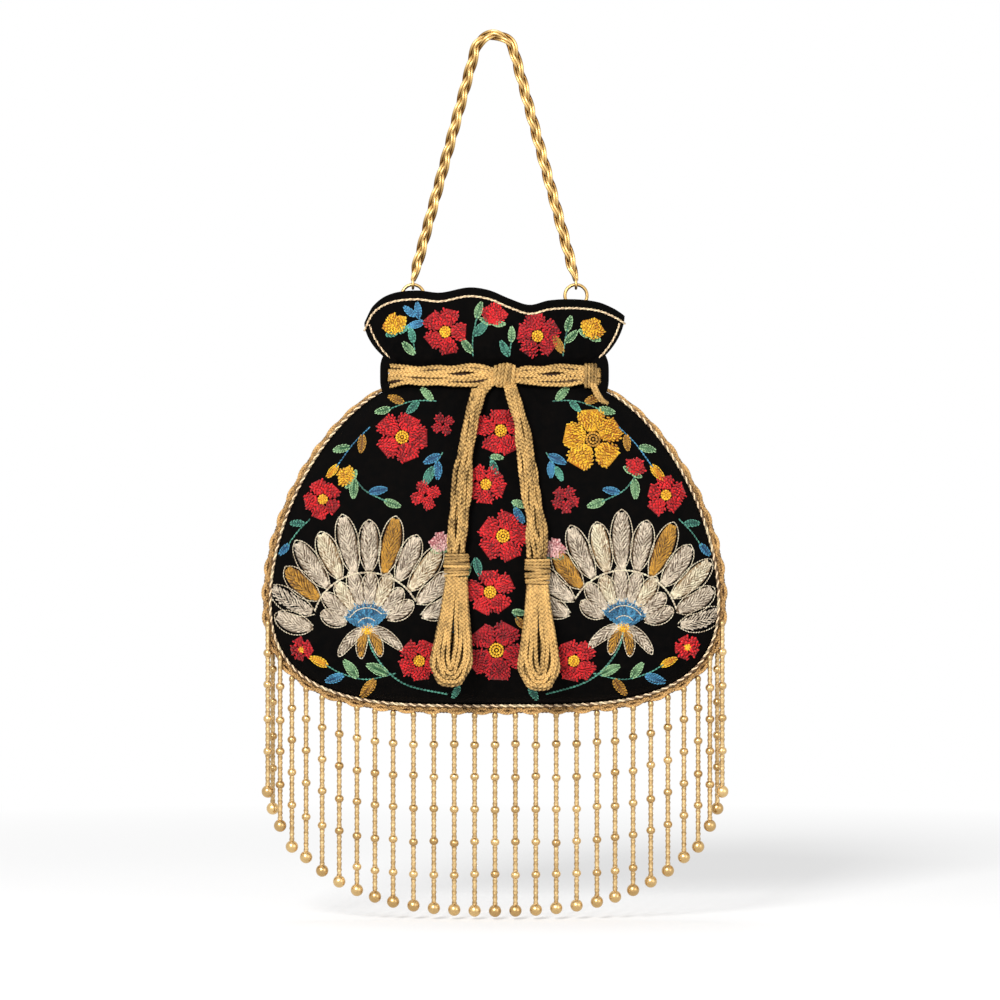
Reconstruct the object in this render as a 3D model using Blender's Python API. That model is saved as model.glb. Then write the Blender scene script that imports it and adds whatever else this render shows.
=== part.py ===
"""Potli bag: a velvet drawstring pouch that hangs on a chain handle, with a bead fringe.

Metres, +Z up, front towards -Y. The origin is the inside top of the handle, where the bag hangs.
The side seams lie in the plane y = 0.
"""

import math

import bmesh
import bpy
from mathutils import Vector

# Clearance between neighbouring pieces, and cloth thicknesses
GAP = 0.0003
VELVET = 0.0014
LINING = 0.0008
LINING_GAP = 0.0016

# Handle chain
RING_TOP_DROP = 0.1150
RING_SPACING = 0.0766
CHAIN_RADIUS = 0.0026
CHAIN_GROOVE = 0.0008
CHAIN_LOBE_LENGTH = 0.0102
CHAIN_TIP_RADIUS = 0.0011
APEX_RADIUS = 0.0093
EYE_WIRE = 0.0012
EYE_HOLE = 0.0024

# Rings and the tabs that hold them
RING_DIAMETER = 0.0120
RING_WIRE = 0.0016
TAB_WIDTH = 0.0040
TAB_HOLE = 0.0030
TAB_CLOTH = 0.0008
TAB_LENGTH = 0.0200
TAB_SEAM_CLEARANCE = 0.0022

# Pouch: levels from the origin down, and half sizes of its sections
FRILL_HEIGHT = 0.0350
NECK_DROP = 0.1525
NECK_HEIGHT = 0.0109
SHOULDER_HEIGHT = 0.0996
BOTTOM_HEIGHT = 0.0494
FRILL_HALF_WIDTH = 0.0612
NECK_HALF_WIDTH = 0.0463
BELLY_HALF_WIDTH = 0.1048
FRILL_HALF_DEPTH = 0.0170
NECK_HALF_DEPTH = 0.0093
BELLY_HALF_DEPTH = 0.0245
GATHER_COUNT = 4
GATHER_DEPTH = 0.0010
GATHER_REACH = 0.0060
FRILL_WAVE_COUNT = 2.5
FRILL_WAVE_DEPTH = 0.0030

# How far the frill's edge dips below its highest point: the greatest dip, and its shares from
# the left seam to the right one
FRILL_EDGE_DIP = 0.0155
FRILL_DIP_SHARES = (
    (-1.00, 1.00),
    (-0.93, 0.50),
    (-0.80, 0.19),
    (-0.60, 0.09),
    (-0.42, 0.155),
    (-0.20, 0.00),
    (-0.04, 0.09),
    (0.12, 0.355),
    (0.27, 0.54),
    (0.42, 0.40),
    (0.62, 0.355),
    (0.80, 0.425),
    (0.92, 0.605),
    (1.00, 0.79),
)

# Trim
BRAID_WIDTH = 0.0044
BRAID_THICKNESS = 0.0032
BRAID_SCALLOP = 0.0006
BRAID_SCALLOP_LENGTH = 0.0125
PIPING = 0.0014
PIPING_EDGE_DROP = 0.0036

# Drawstring
BAND_THICKNESS = 0.0047
BAND_HEIGHT = 0.0103
BAND_RIDGE = 0.0006
KNOT_X = 0.0045
KNOT_WIDTH = 0.0103
KNOT_HEIGHT = 0.0112
KNOT_SQUEEZE = 0.62
LOOP_CLOTH = 0.0013
LOOP_WIDTH = 0.0080
LOOP_HEIGHT = 0.0150
LOOP_RISE = 0.0009
CORD_DIAMETER = 0.0080
COLLAR_WIDTH = 0.0122
COLLAR_THICKNESS = 0.0086
LEFT_COLLAR_HEIGHT = 0.0105
RIGHT_COLLAR_HEIGHT = 0.0117
LEFT_TASSEL_LENGTH = 0.0513
RIGHT_TASSEL_LENGTH = 0.0495
TASSEL_WIDTH = 0.0216
TASSEL_THICKNESS = 0.0104

# Routes of the two hanging cords, from the knot down to their collars
LEFT_CORD_ROUTE = (
    (-0.0072, -0.0166, -0.1643),
    (-0.0078, -0.0172, -0.1675),
    (-0.0092, -0.0186, -0.1720),
    (-0.0105, -0.0201, -0.1775),
    (-0.0116, -0.0214, -0.1835),
    (-0.0127, -0.0226, -0.1895),
    (-0.0135, -0.0237, -0.1955),
    (-0.0142, -0.0246, -0.2015),
    (-0.0149, -0.0254, -0.2075),
    (-0.0155, -0.0262, -0.2135),
    (-0.0161, -0.0269, -0.2195),
    (-0.0167, -0.0275, -0.2255),
    (-0.0172, -0.0281, -0.2315),
    (-0.0175, -0.0286, -0.2370),
    (-0.0175, -0.0287, -0.2408),
)
RIGHT_CORD_ROUTE = (
    (0.0078, -0.0166, -0.1643),
    (0.0086, -0.0172, -0.1675),
    (0.0100, -0.0186, -0.1720),
    (0.0113, -0.0201, -0.1775),
    (0.0126, -0.0214, -0.1835),
    (0.0137, -0.0226, -0.1895),
    (0.0147, -0.0237, -0.1955),
    (0.0155, -0.0246, -0.2015),
    (0.0163, -0.0254, -0.2075),
    (0.0171, -0.0262, -0.2135),
    (0.0179, -0.0270, -0.2200),
    (0.0187, -0.0277, -0.2265),
    (0.0195, -0.0283, -0.2335),
    (0.0200, -0.0287, -0.2395),
    (0.0200, -0.0288, -0.2432),
)

# Fringe
STRANDS_PER_SIDE = 14
EVEN_STRANDS = 5
CORNER_CROWDING = 0.896
FRINGE_RISE = 0.83
STRAND_LENGTH = 0.0919
SHORT_STRAND_LENGTH = 0.0789
LONG_STRANDS_TO = 10
OUTER_STRANDS = 3
STRAND_DIAMETER = 0.0021
STRAND_TIP = 0.0020
BEAD_DIAMETER = 0.0043
END_BALL_DIAMETER = 0.0059
FIRST_BEAD = 0.0138
BEAD_PITCH = 0.0153
LAST_BEAD_CLEARANCE = 0.0090

# Shape exponents: the pouch outline, its lens-like sections and the flare of frill and shoulder
OUTLINE_SIDE = 3.7
OUTLINE_BOTTOM = 2.5
SECTION_POWER = 2.0 * OUTLINE_SIDE / 3.0
SECTION_ROUNDING = 0.6
FLARE_POWER = 1.8
SHOULDER_FLARE = 0.68
DEPTH_FLARE = 0.70
FRILL_FLARE = 0.80
CORNER_SHARE = 0.937
ROW_DROOP = 2.0

# Mesh counts
PANEL_COLUMNS = 16
FRILL_ROWS = 4
BELLY_ROWS = 9
LINING_COLUMNS = PANEL_COLUMNS // 2
LINING_FIRST_ROW = 2
OUTLINE_SAMPLES = 400
PIPING_STEPS = 28
BAND_COLUMNS = 16
RING_TURNS = 12
ROUND_SIDES = 6
STRAND_SIDES = 5

NECK_TOP_Z = -NECK_DROP
NECK_LOW_Z = NECK_TOP_Z - NECK_HEIGHT
NECK_MIDDLE_Z = NECK_TOP_Z - NECK_HEIGHT / 2.0
FRILL_TOP_Z = NECK_TOP_Z + FRILL_HEIGHT
WIDEST_Z = NECK_LOW_Z - SHOULDER_HEIGHT
RING_RADIUS = (RING_DIAMETER - RING_WIRE) / 2.0
RING_TOP_Z = -RING_TOP_DROP
RING_BOTTOM_Z = RING_TOP_Z - 2.0 * RING_RADIUS
RING_X = RING_SPACING / 2.0
BAND_OFFSET = GAP + BAND_THICKNESS / 2.0
BRAID_OFFSET = GAP + BRAID_WIDTH / 2.0
LINING_INSET = VELVET + LINING_GAP


def clear_scene():
    for old in list(bpy.data.objects):
        bpy.data.objects.remove(old, do_unlink=True)


def material(name, colour, roughness, metallic=0.0):
    """A Principled material in one colour."""
    made = bpy.data.materials.new(name)
    made.use_nodes = True
    shader = made.node_tree.nodes["Principled BSDF"]
    shader.inputs["Base Color"].default_value = (*colour, 1.0)
    shader.inputs["Roughness"].default_value = roughness
    shader.inputs["Metallic"].default_value = metallic
    made.diffuse_color = (*colour, 1.0)
    return made


def finish_object(name, mesh, finish, crease=35.0):
    """Link a mesh into the scene as one named piece."""
    mesh.materials.append(finish)
    mesh.shade_smooth()
    mesh.set_sharp_from_angle(angle=math.radians(crease))
    made = bpy.data.objects.new(name, mesh)
    bpy.context.scene.collection.objects.link(made)
    return made


def mesh_from_bmesh(name, shape):
    """Turn a closed bmesh into a mesh whose faces point out."""
    bmesh.ops.recalc_face_normals(shape, faces=shape.faces)
    mesh = bpy.data.meshes.new(name)
    shape.to_mesh(mesh)
    shape.free()
    return mesh


def ring_skin(shape, rings, closed):
    """Join rings of equal count with quads, and cap the ends of an open row of rings."""
    made = [[shape.verts.new(point) for point in ring] for ring in rings]
    count = len(made[0])
    pairs = list(zip(made, made[1:]))
    if closed:
        pairs.append((made[-1], made[0]))
    for ring, following in pairs:
        for k in range(count):
            after = (k + 1) % count
            shape.faces.new((ring[k], ring[after], following[after], following[k]))
    if not closed:
        shape.faces.new(made[0])
        shape.faces.new(list(reversed(made[-1])))


def ring_mesh(name, rings, closed=False):
    shape = bmesh.new()
    ring_skin(shape, rings, closed)
    return mesh_from_bmesh(name, shape)


def smooth_between(points, value):
    """Read a smooth curve through (place, height) points at one place."""
    if value <= points[0][0]:
        return points[0][1]
    if value >= points[-1][0]:
        return points[-1][1]
    index = max(k for k in range(len(points) - 1) if points[k][0] <= value)
    before = points[max(index - 1, 0)]
    start = points[index]
    end = points[index + 1]
    after = points[min(index + 2, len(points) - 1)]
    span = end[0] - start[0]
    slope_in = (end[1] - before[1]) / (end[0] - before[0])
    slope_out = (after[1] - start[1]) / (after[0] - start[0])
    t = (value - start[0]) / span
    return (
        (2 * t**3 - 3 * t**2 + 1) * start[1]
        + (t**3 - 2 * t**2 + t) * span * slope_in
        + (3 * t**2 - 2 * t**3) * end[1]
        + (t**3 - t**2) * span * slope_out
    )


def curve_through(points, count):
    """Evenly spread points of a smooth curve through the route's own points."""
    route = [Vector(point) for point in points]
    ends = [2 * route[0] - route[1]] + route + [2 * route[-1] - route[-2]]
    dense = []
    steps = 8
    for k in range(1, len(ends) - 2):
        a, b, c, d = ends[k - 1], ends[k], ends[k + 1], ends[k + 2]
        for step in range(steps):
            t = step / steps
            dense.append(
                0.5 * (2 * b + (c - a) * t + (2 * a - 5 * b + 4 * c - d) * t**2
                       + (3 * b - 3 * c + d - a) * t**3)
            )
    dense.append(route[-1])
    return evenly(dense, count)


def evenly(points, count):
    """Points at equal steps along a polyline, its two ends included."""
    lengths = [0.0]
    for a, b in zip(points, points[1:]):
        lengths.append(lengths[-1] + (b - a).length)
    spread = []
    k = 0
    for step in range(count):
        wanted = lengths[-1] * step / (count - 1)
        while k < len(points) - 2 and lengths[k + 1] < wanted:
            k += 1
        share = (wanted - lengths[k]) / (lengths[k + 1] - lengths[k])
        spread.append(points[k].lerp(points[k + 1], share))
    return spread


# Form of the pouch


def flare(share, exponent):
    """Quick rise that levels out, from 0 at share 0 to 1 at share 1."""
    share = min(max(share, 0.0), 1.0)
    return (1.0 - (1.0 - share) ** FLARE_POWER) ** exponent


def section(u):
    """Depth of a flat-sewn section, 1 in the middle and 0 at the seams."""
    return max(0.0, 1.0 - abs(u) ** SECTION_POWER) ** SECTION_ROUNDING


def seam_parameter(theta):
    """Position across a panel, -1 to 1, for an even angle theta of -1 to 1."""
    return math.sin(theta * math.pi / 2.0)


def belly_outline(z, inset):
    """Half width of the pouch outline at a level below the neck."""
    neck = NECK_HALF_WIDTH - inset
    widest = BELLY_HALF_WIDTH - inset
    if z >= WIDEST_Z:
        share = (NECK_LOW_Z - inset - z) / (SHOULDER_HEIGHT - inset)
        return neck + (widest - neck) * flare(share, SHOULDER_FLARE)
    drop = min(1.0, (WIDEST_Z - z) / (BOTTOM_HEIGHT - inset))
    return widest * (1.0 - drop**OUTLINE_BOTTOM) ** (1.0 / OUTLINE_SIDE)


def bottom_level(x, inset):
    """Level of the bottom seam at one place across."""
    share = min(1.0, abs(x) / (BELLY_HALF_WIDTH - inset))
    rise = (1.0 - share**OUTLINE_SIDE) ** (1.0 / OUTLINE_BOTTOM)
    return WIDEST_Z - (BOTTOM_HEIGHT - inset) * rise


def gather(theta, distance):
    """Small pleats that start where the drawstring squeezes the cloth, and fade away from it."""
    reach = distance / GATHER_REACH
    wave = math.cos(math.pi * GATHER_COUNT * (theta + 1.0))
    return GATHER_DEPTH * wave * reach * math.exp(1.0 - reach) * section(seam_parameter(theta))


def belly_depth(x, z, theta, inset):
    """Distance of the pouch surface from the seam plane below the neck."""
    widest = BELLY_HALF_WIDTH - inset
    if z >= WIDEST_Z:
        share = (NECK_LOW_Z - inset - z) / (SHOULDER_HEIGHT - inset)
        middle = NECK_HALF_DEPTH + (BELLY_HALF_DEPTH - NECK_HALF_DEPTH) * flare(share, DEPTH_FLARE)
        across = min(1.0, abs(x) / belly_outline(z, inset))
        depth = (middle - inset) * section(across)
    else:
        drop = (WIDEST_Z - z) / (BOTTOM_HEIGHT - inset)
        filled = (min(1.0, abs(x) / widest)) ** OUTLINE_SIDE + drop**OUTLINE_BOTTOM
        across = min(1.0, filled) ** (1.0 / OUTLINE_SIDE)
        depth = (BELLY_HALF_DEPTH - inset) * section(across)
    return depth + gather(theta, NECK_LOW_Z - z) * min(1.0, depth / NECK_HALF_DEPTH)


def belly_point(theta, share, inset):
    """Point of the front surface below the neck: share runs from neck to bottom seam."""
    corner_x = CORNER_SHARE * (BELLY_HALF_WIDTH - inset)
    corner_z = bottom_level(corner_x, inset)
    neck_z = NECK_LOW_Z - inset
    side_z = neck_z + (corner_z - neck_z) * share
    across = seam_parameter(theta)
    x = across * (corner_x if share >= 1.0 else belly_outline(side_z, inset))
    droop = bottom_level(across * corner_x, inset) - corner_z
    z = side_z + droop * share**ROW_DROOP
    if share >= 1.0 or abs(theta) >= 1.0:
        return Vector((x, 0.0, z))
    return Vector((x, -belly_depth(x, z, theta, inset), z))


def neck_point(theta, z, inset):
    across = seam_parameter(theta)
    depth = (NECK_HALF_DEPTH - inset) * section(across)
    return Vector((across * (NECK_HALF_WIDTH - inset), -depth, z))


def frill_edge(across):
    """Level of the frill's edge at a position across, -1 to 1."""
    return FRILL_TOP_Z - FRILL_EDGE_DIP * smooth_between(FRILL_DIP_SHARES, across)


def frill_point(theta, share, inset):
    """Point of the front surface above the neck: share runs from neck to frill edge."""
    across = seam_parameter(theta)
    start = NECK_TOP_Z + inset
    z = start + (frill_edge(across) - start) * share
    spread = flare(share, FRILL_FLARE)
    half_width = NECK_HALF_WIDTH + (FRILL_HALF_WIDTH - NECK_HALF_WIDTH) * spread - inset
    middle = NECK_HALF_DEPTH + (FRILL_HALF_DEPTH - NECK_HALF_DEPTH) * spread - inset
    wave = math.cos(math.pi * FRILL_WAVE_COUNT * (theta + 1.0) + math.pi)
    lobes = FRILL_WAVE_DEPTH * wave * share**1.5 * section(across)
    pleats = gather(theta, z - start) * (1.0 - share)
    depth = middle * section(across) + lobes + pleats
    if abs(theta) >= 1.0:
        depth = 0.0
    return Vector((across * half_width, -depth, z))


def panel_rows(inset, columns):
    """Rows of points of the front surface, from the frill edge down to the bottom seam."""
    thetas = [-1.0 + 2.0 * k / columns for k in range(columns + 1)]
    rows = []
    for k in range(FRILL_ROWS, 0, -1):
        rows.append([frill_point(theta, k / FRILL_ROWS, inset) for theta in thetas])
    rows.append([neck_point(theta, NECK_TOP_Z + inset, inset) for theta in thetas])
    rows.append([neck_point(theta, NECK_LOW_Z - inset, inset) for theta in thetas])
    for k in range(1, BELLY_ROWS + 1):
        share = k / BELLY_ROWS
        rows.append([belly_point(theta, belly_spacing(share), inset) for theta in thetas])
    return rows


def belly_spacing(share):
    """Rows lie closer together at the shoulder, where the pouch turns quickly."""
    return share**1.45


def panel_mesh(name, side):
    """One velvet panel with its thickness: side is -1 for the front and 1 for the back."""
    shape = bmesh.new()
    skins = []
    for inset in (0.0, VELVET):
        skin = []
        for row in panel_rows(inset, PANEL_COLUMNS):
            moved = [Vector((p.x, side * (GAP / 2.0 - p.y), p.z)) for p in row]
            skin.append([shape.verts.new(p) for p in moved])
        skins.append(skin)
    outer, inner = skins
    last_row = len(outer) - 1
    for skin in skins:
        for i in range(last_row):
            for j in range(PANEL_COLUMNS):
                corners = (skin[i][j], skin[i][j + 1], skin[i + 1][j + 1], skin[i + 1][j])
                shape.faces.new(corners)
    for i in (0, last_row):
        for j in range(PANEL_COLUMNS):
            shape.faces.new((outer[i][j], outer[i][j + 1], inner[i][j + 1], inner[i][j]))
    for j in (0, PANEL_COLUMNS):
        for i in range(last_row):
            shape.faces.new((outer[i][j], outer[i + 1][j], inner[i + 1][j], inner[i][j]))
    return mesh_from_bmesh(name, shape)


def make_panels(velvet):
    finish_object("front_panel", panel_mesh("front_panel", -1.0), velvet)
    finish_object("back_panel", panel_mesh("back_panel", 1.0), velvet)


def make_lining(finish):
    """Pocket inside the panels, open at its top."""
    shape = bmesh.new()
    rims = []
    for inset in (LINING_INSET, LINING_INSET + LINING):
        rows = []
        for k in range(LINING_FIRST_ROW, BELLY_ROWS + 1):
            share = belly_spacing(k / BELLY_ROWS)
            loop = []
            for j in range(2 * LINING_COLUMNS):
                side = -1.0 if j <= LINING_COLUMNS else 1.0
                place = j if j <= LINING_COLUMNS else 2 * LINING_COLUMNS - j
                theta = -1.0 + 2.0 * place / LINING_COLUMNS
                p = belly_point(theta, share, inset)
                loop.append(shape.verts.new((p.x, -side * p.y, p.z)))
            rows.append(loop)
        for upper, lower in zip(rows, rows[1:]):
            for j in range(2 * LINING_COLUMNS):
                after = (j + 1) % (2 * LINING_COLUMNS)
                shape.faces.new((upper[j], upper[after], lower[after], lower[j]))
        rims.append(rows[0])
    for j in range(2 * LINING_COLUMNS):
        after = (j + 1) % (2 * LINING_COLUMNS)
        shape.faces.new((rims[0][j], rims[0][after], rims[1][after], rims[1][j]))
    bmesh.ops.remove_doubles(shape, verts=shape.verts, dist=GAP / 30.0)
    finish_object("lining", mesh_from_bmesh("lining", shape), finish)


# Outline of the side and bottom seam, as one line with its outward directions


def seam_outline():
    """Points of the seam from under the neck on the left, round the bottom, to the right."""
    points = []
    half = OUTLINE_SAMPLES // 2
    for k in range(half):
        share = (k / half) ** 1.6
        z = NECK_LOW_Z + (WIDEST_Z - NECK_LOW_Z) * share
        points.append(Vector((belly_outline(z, 0.0), 0.0, z)))
    for k in range(half + 1):
        angle = math.pi / 2.0 * k / half
        x = BELLY_HALF_WIDTH * math.cos(angle) ** (2.0 / OUTLINE_SIDE)
        points.append(Vector((x, 0.0, bottom_level(x, 0.0))))
    left = [Vector((-p.x, 0.0, p.z)) for p in points]
    return left + list(reversed(points[:-1]))


def offset_outline(distance):
    """The seam outline moved outward by a distance."""
    points = seam_outline()
    moved = []
    for k, point in enumerate(points):
        along = points[min(k + 1, len(points) - 1)] - points[max(k - 1, 0)]
        outward = Vector((along.z, 0.0, -along.x)).normalized()
        moved.append(point + outward * distance)
    return moved


def below_band(points):
    """The part of an outline that lies clear below the drawstring and its side loops."""
    limit = NECK_MIDDLE_Z + LOOP_RISE - LOOP_HEIGHT / 2.0 - PIPING - GAP
    return [p for p in points if p.z < limit]


def along_tube(points, section_of):
    """Rings of a tube in the seam plane: section_of gives (outward, depth) pairs for a step."""
    rings = []
    for k, point in enumerate(points):
        along = points[min(k + 1, len(points) - 1)] - points[max(k - 1, 0)]
        outward = Vector((along.z, 0.0, -along.x)).normalized()
        depthwise = Vector((0.0, 1.0, 0.0))
        rings.append([point + outward * a + depthwise * b for a, b in section_of(k)])
    return rings


def braid_section(step):
    """Diamond section of the braid, whose outer tip goes in and out with the scallops."""
    scallop = BRAID_SCALLOP if step % 2 == 0 else 0.0
    return (
        (BRAID_WIDTH / 2.0 - scallop, 0.0),
        (0.0, BRAID_THICKNESS / 2.0),
        (-BRAID_WIDTH / 2.0, 0.0),
        (0.0, -BRAID_THICKNESS / 2.0),
    )


def path_length(points):
    return sum((b - a).length for a, b in zip(points, points[1:]))


def make_braid(finish):
    line = below_band(offset_outline(BRAID_OFFSET))
    steps = 2 * round(path_length(line) / BRAID_SCALLOP_LENGTH) + 1
    rings = along_tube(evenly(line, steps), braid_section)
    finish_object("seam_braid", ring_mesh("seam_braid", rings), finish, crease=60.0)


def make_edge_piping(finish):
    """Twisted piping beside the braid, on the front and on the back."""
    radius = PIPING / 2.0
    line = below_band(offset_outline(GAP * 2.0 + radius / 2.0))
    centre = BRAID_THICKNESS / 2.0 + radius * 0.25
    points = evenly(line, PIPING_STEPS)
    for name, side in (("front_piping", -1.0), ("back_piping", 1.0)):
        triangle = [
            (radius * math.cos(angle), side * (centre + radius * math.sin(angle)))
            for angle in (math.radians(90.0 + 120.0 * k) for k in range(3))
        ]
        rings = along_tube(points, lambda step, shape=triangle: shape)
        finish_object(name, ring_mesh(name, rings), finish, crease=60.0)


def offset_loop(point_of, distance, columns):
    """Closed loop round the bag at a distance outside its surface; point_of gives the front."""
    small = 0.01
    front = []
    for k in range(columns + 1):
        theta = -1.0 + 2.0 * k / columns
        point = point_of(theta)
        if k in (0, columns):
            outward = Vector((math.copysign(1.0, theta), 0.0, 0.0))
        else:
            along = point_of(theta + small) - point_of(theta - small)
            outward = Vector((along.y, -along.x, 0.0)).normalized()
        front.append(point + outward * distance)
    back = [Vector((p.x, -p.y, p.z)) for p in reversed(front[1:-1])]
    return front + back


def loop_tube(points, section_of):
    """Rings of a closed tube round the bag: section_of gives (outward, upward) pairs."""
    rings = []
    count = len(points)
    for k, point in enumerate(points):
        along = points[(k + 1) % count] - points[k - 1]
        outward = Vector((along.y, -along.x, 0.0)).normalized()
        upward = Vector((0.0, 0.0, 1.0))
        rings.append([point + outward * a + upward * b for a, b in section_of(point)])
    return rings


def make_frill_piping(finish):
    """Twisted piping round the frill, a little under its edge."""
    radius = PIPING / 2.0

    def point_of(theta):
        edge = frill_edge(seam_parameter(theta))
        share = 1.0 - PIPING_EDGE_DROP / (edge - NECK_TOP_Z)
        return frill_point(theta, share, 0.0)

    def triangle(point):
        return [
            (radius * math.cos(angle), radius * math.sin(angle))
            for angle in (math.radians(120.0 * k) for k in range(3))
        ]

    line = offset_loop(point_of, GAP * 1.5 + radius, PANEL_COLUMNS)
    rings = loop_tube(line, triangle)
    finish_object("frill_piping", ring_mesh("frill_piping", rings, closed=True), finish, 60.0)


# Drawstring


def band_section(point):
    """Section of the skein: ridges outside, squeezed where the knot binds it."""
    near = abs(point.x - KNOT_X) < KNOT_WIDTH / 2.0 + BAND_THICKNESS
    squeeze = KNOT_SQUEEZE if near and point.y < 0.0 else 1.0
    half = squeeze * BAND_HEIGHT / 2.0
    crest = squeeze * BAND_THICKNESS / 2.0
    valley = crest - BAND_RIDGE
    return (
        (-crest, -0.68 * half),
        (0.2 * crest, -half),
        (crest, -0.75 * half),
        (valley, -0.38 * half),
        (crest, 0.0),
        (valley, 0.38 * half),
        (crest, 0.75 * half),
        (0.2 * crest, half),
        (-crest, 0.68 * half),
    )


def band_line():
    """Middle of the skein round the neck."""

    def point_of(theta):
        return neck_point(theta, NECK_MIDDLE_Z, 0.0)

    return offset_loop(point_of, BAND_OFFSET, BAND_COLUMNS)


def make_band(finish):
    rings = loop_tube(band_line(), band_section)
    finish_object("neck_band", ring_mesh("neck_band", rings, closed=True), finish, crease=60.0)


def front_of_band(x):
    """Depth of the skein's middle at the front, at one place across."""
    line = [p for p in band_line() if p.y < 0.0]
    nearest = min(line, key=lambda p: abs(p.x - x))
    return nearest.y


def make_knot(finish):
    """Sleeve of thread round the squeezed skein."""
    crest = KNOT_SQUEEZE * BAND_THICKNESS / 2.0
    half = KNOT_SQUEEZE * BAND_HEIGHT / 2.0
    hole_half = crest + GAP * 1.5
    hole_height = half + GAP * 1.5
    back = BAND_OFFSET - GAP * 1.2
    front = BAND_THICKNESS / 2.0 + GAP * 2.0
    middle = front_of_band(KNOT_X)
    inner = rounded_loop(-hole_half, hole_half, hole_height, 0.5)
    outer = rounded_loop(-front, back, KNOT_HEIGHT / 2.0, 0.45)
    shape = bmesh.new()
    rings = []
    for x, swell in ((-0.5, 0.88), (-0.3, 1.0), (0.3, 1.0), (0.5, 0.88)):
        place = KNOT_X + KNOT_WIDTH * x
        loop = [(y * (swell if y < 0.0 else 1.0), z * swell) for y, z in outer]
        rings.append([Vector((place, middle + y, NECK_MIDDLE_Z + z)) for y, z in loop])
    for x in (0.5, -0.5):
        place = KNOT_X + KNOT_WIDTH * x
        rings.append([Vector((place, middle + y, NECK_MIDDLE_Z + z)) for y, z in inner])
    ring_skin(shape, rings, closed=True)
    finish_object("knot_wrap", mesh_from_bmesh("knot_wrap", shape), finish, crease=50.0)


def rounded_loop(low, high, half_height, corner):
    """Eight-point rounded rectangle in (depth, height), as a list round its middle."""
    middle = (low + high) / 2.0
    half = (high - low) / 2.0
    return [
        (middle + half * a, half_height * b)
        for a, b in (
            (1.0, corner), (corner, 1.0), (-corner, 1.0), (-1.0, corner),
            (-1.0, -corner), (-corner, -1.0), (corner, -1.0), (1.0, -corner),
        )
    ]


def make_side_loops(finish):
    """Velvet belt loop over the skein at each side seam."""
    reach = NECK_HALF_WIDTH + BAND_OFFSET + BAND_THICKNESS / 2.0 + GAP
    bend = LOOP_CLOTH * 0.6
    for name, side in (("side_loop_left", -1.0), ("side_loop_right", 1.0)):
        rings = []
        for k in range(5):
            share = k / 4.0
            z = NECK_MIDDLE_Z + LOOP_RISE - LOOP_HEIGHT * (share - 0.5)
            bulge = bend * math.sin(math.pi * share)
            inner = side * (reach + bulge)
            outer = side * (reach + bulge + LOOP_CLOTH)
            half = LOOP_WIDTH / 2.0
            rings.append([
                Vector((inner, -half, z)), Vector((outer, -half, z)),
                Vector((outer, half, z)), Vector((inner, half, z)),
            ])
        finish_object(name, ring_mesh(name, rings), finish)


def make_cord(name, route, finish):
    """Plain tube along one hanging leg of the drawstring."""
    length = path_length(curve_through(route, 60))
    points = curve_through(route, round(length / (1.5 * CORD_DIAMETER)) + 2)
    curve = bpy.data.curves.new(name, "CURVE")
    curve.dimensions = "3D"
    curve.bevel_depth = CORD_DIAMETER / 2.0
    curve.bevel_resolution = 2
    curve.use_fill_caps = True
    spline = curve.splines.new("POLY")
    spline.points.add(len(points) - 1)
    for knot, point in zip(spline.points, points):
        knot.co = (*point, 1.0)
    curve.materials.append(finish)
    made = bpy.data.objects.new(name, curve)
    bpy.context.scene.collection.objects.link(made)


def ellipse_ring(centre, half_width, half_depth, sides, ridge=0.0):
    """Level ring of an oval section; ridge draws in every second point."""
    points = []
    for k in range(sides):
        angle = 2.0 * math.pi * k / sides
        size = 1.0 - ridge * (k % 2)
        x = half_width * size * math.cos(angle)
        y = half_depth * size * math.sin(angle)
        points.append(Vector((centre.x + x, centre.y + y, centre.z)))
    return points


def make_collar(name, top, height, finish):
    """Thread wrap that binds the skein above a tassel."""
    rings = []
    for share, size in ((0.0, 0.88), (0.2, 1.0), (0.8, 1.0), (1.0, 0.88)):
        centre = top + Vector((0.0, 0.0, -height * share))
        half_width = COLLAR_WIDTH / 2.0 * size
        rings.append(ellipse_ring(centre, half_width, COLLAR_THICKNESS / 2.0 * size, 10))
    finish_object(name, ring_mesh(name, rings), finish, crease=50.0)


def make_tassel(name, top, length, lean, finish):
    """Looped tassel: a flat skein that widens downward and ends in a round bunch of loops."""
    rings = []
    profile = (
        (0.00, 0.46, 0.66), (0.12, 0.56, 0.76), (0.35, 0.72, 0.84), (0.60, 0.90, 0.92),
        (0.80, 1.00, 1.00), (0.92, 0.86, 0.90), (0.98, 0.58, 0.60), (1.00, 0.30, 0.30),
    )
    forward = TASSEL_THICKNESS * 0.09
    for share, wide, deep in profile:
        moved = -forward if share > 0.0 else 0.0
        centre = top + Vector((lean * share, moved, -length * share))
        half_width = TASSEL_WIDTH / 2.0 * wide
        rings.append(ellipse_ring(centre, half_width, TASSEL_THICKNESS / 2.0 * deep, 12, 0.14))
    finish_object(name, ring_mesh(name, rings), finish, crease=50.0)


def make_drawstring(gold):
    make_band(gold)
    make_knot(gold)
    sides = (
        ("left", LEFT_CORD_ROUTE, LEFT_COLLAR_HEIGHT, LEFT_TASSEL_LENGTH, -0.0030),
        ("right", RIGHT_CORD_ROUTE, RIGHT_COLLAR_HEIGHT, RIGHT_TASSEL_LENGTH, 0.0010),
    )
    for side, route, collar_height, tassel_length, lean in sides:
        make_cord("drawcord_" + side, route, gold)
        top = Vector(route[-1]) - Vector((0.0, 0.0, GAP))
        make_collar("cord_wrap_" + side, top, collar_height, gold)
        top = top - Vector((0.0, 0.0, collar_height + GAP))
        make_tassel("tassel_" + side, top, tassel_length, lean, gold)


# Handle


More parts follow.
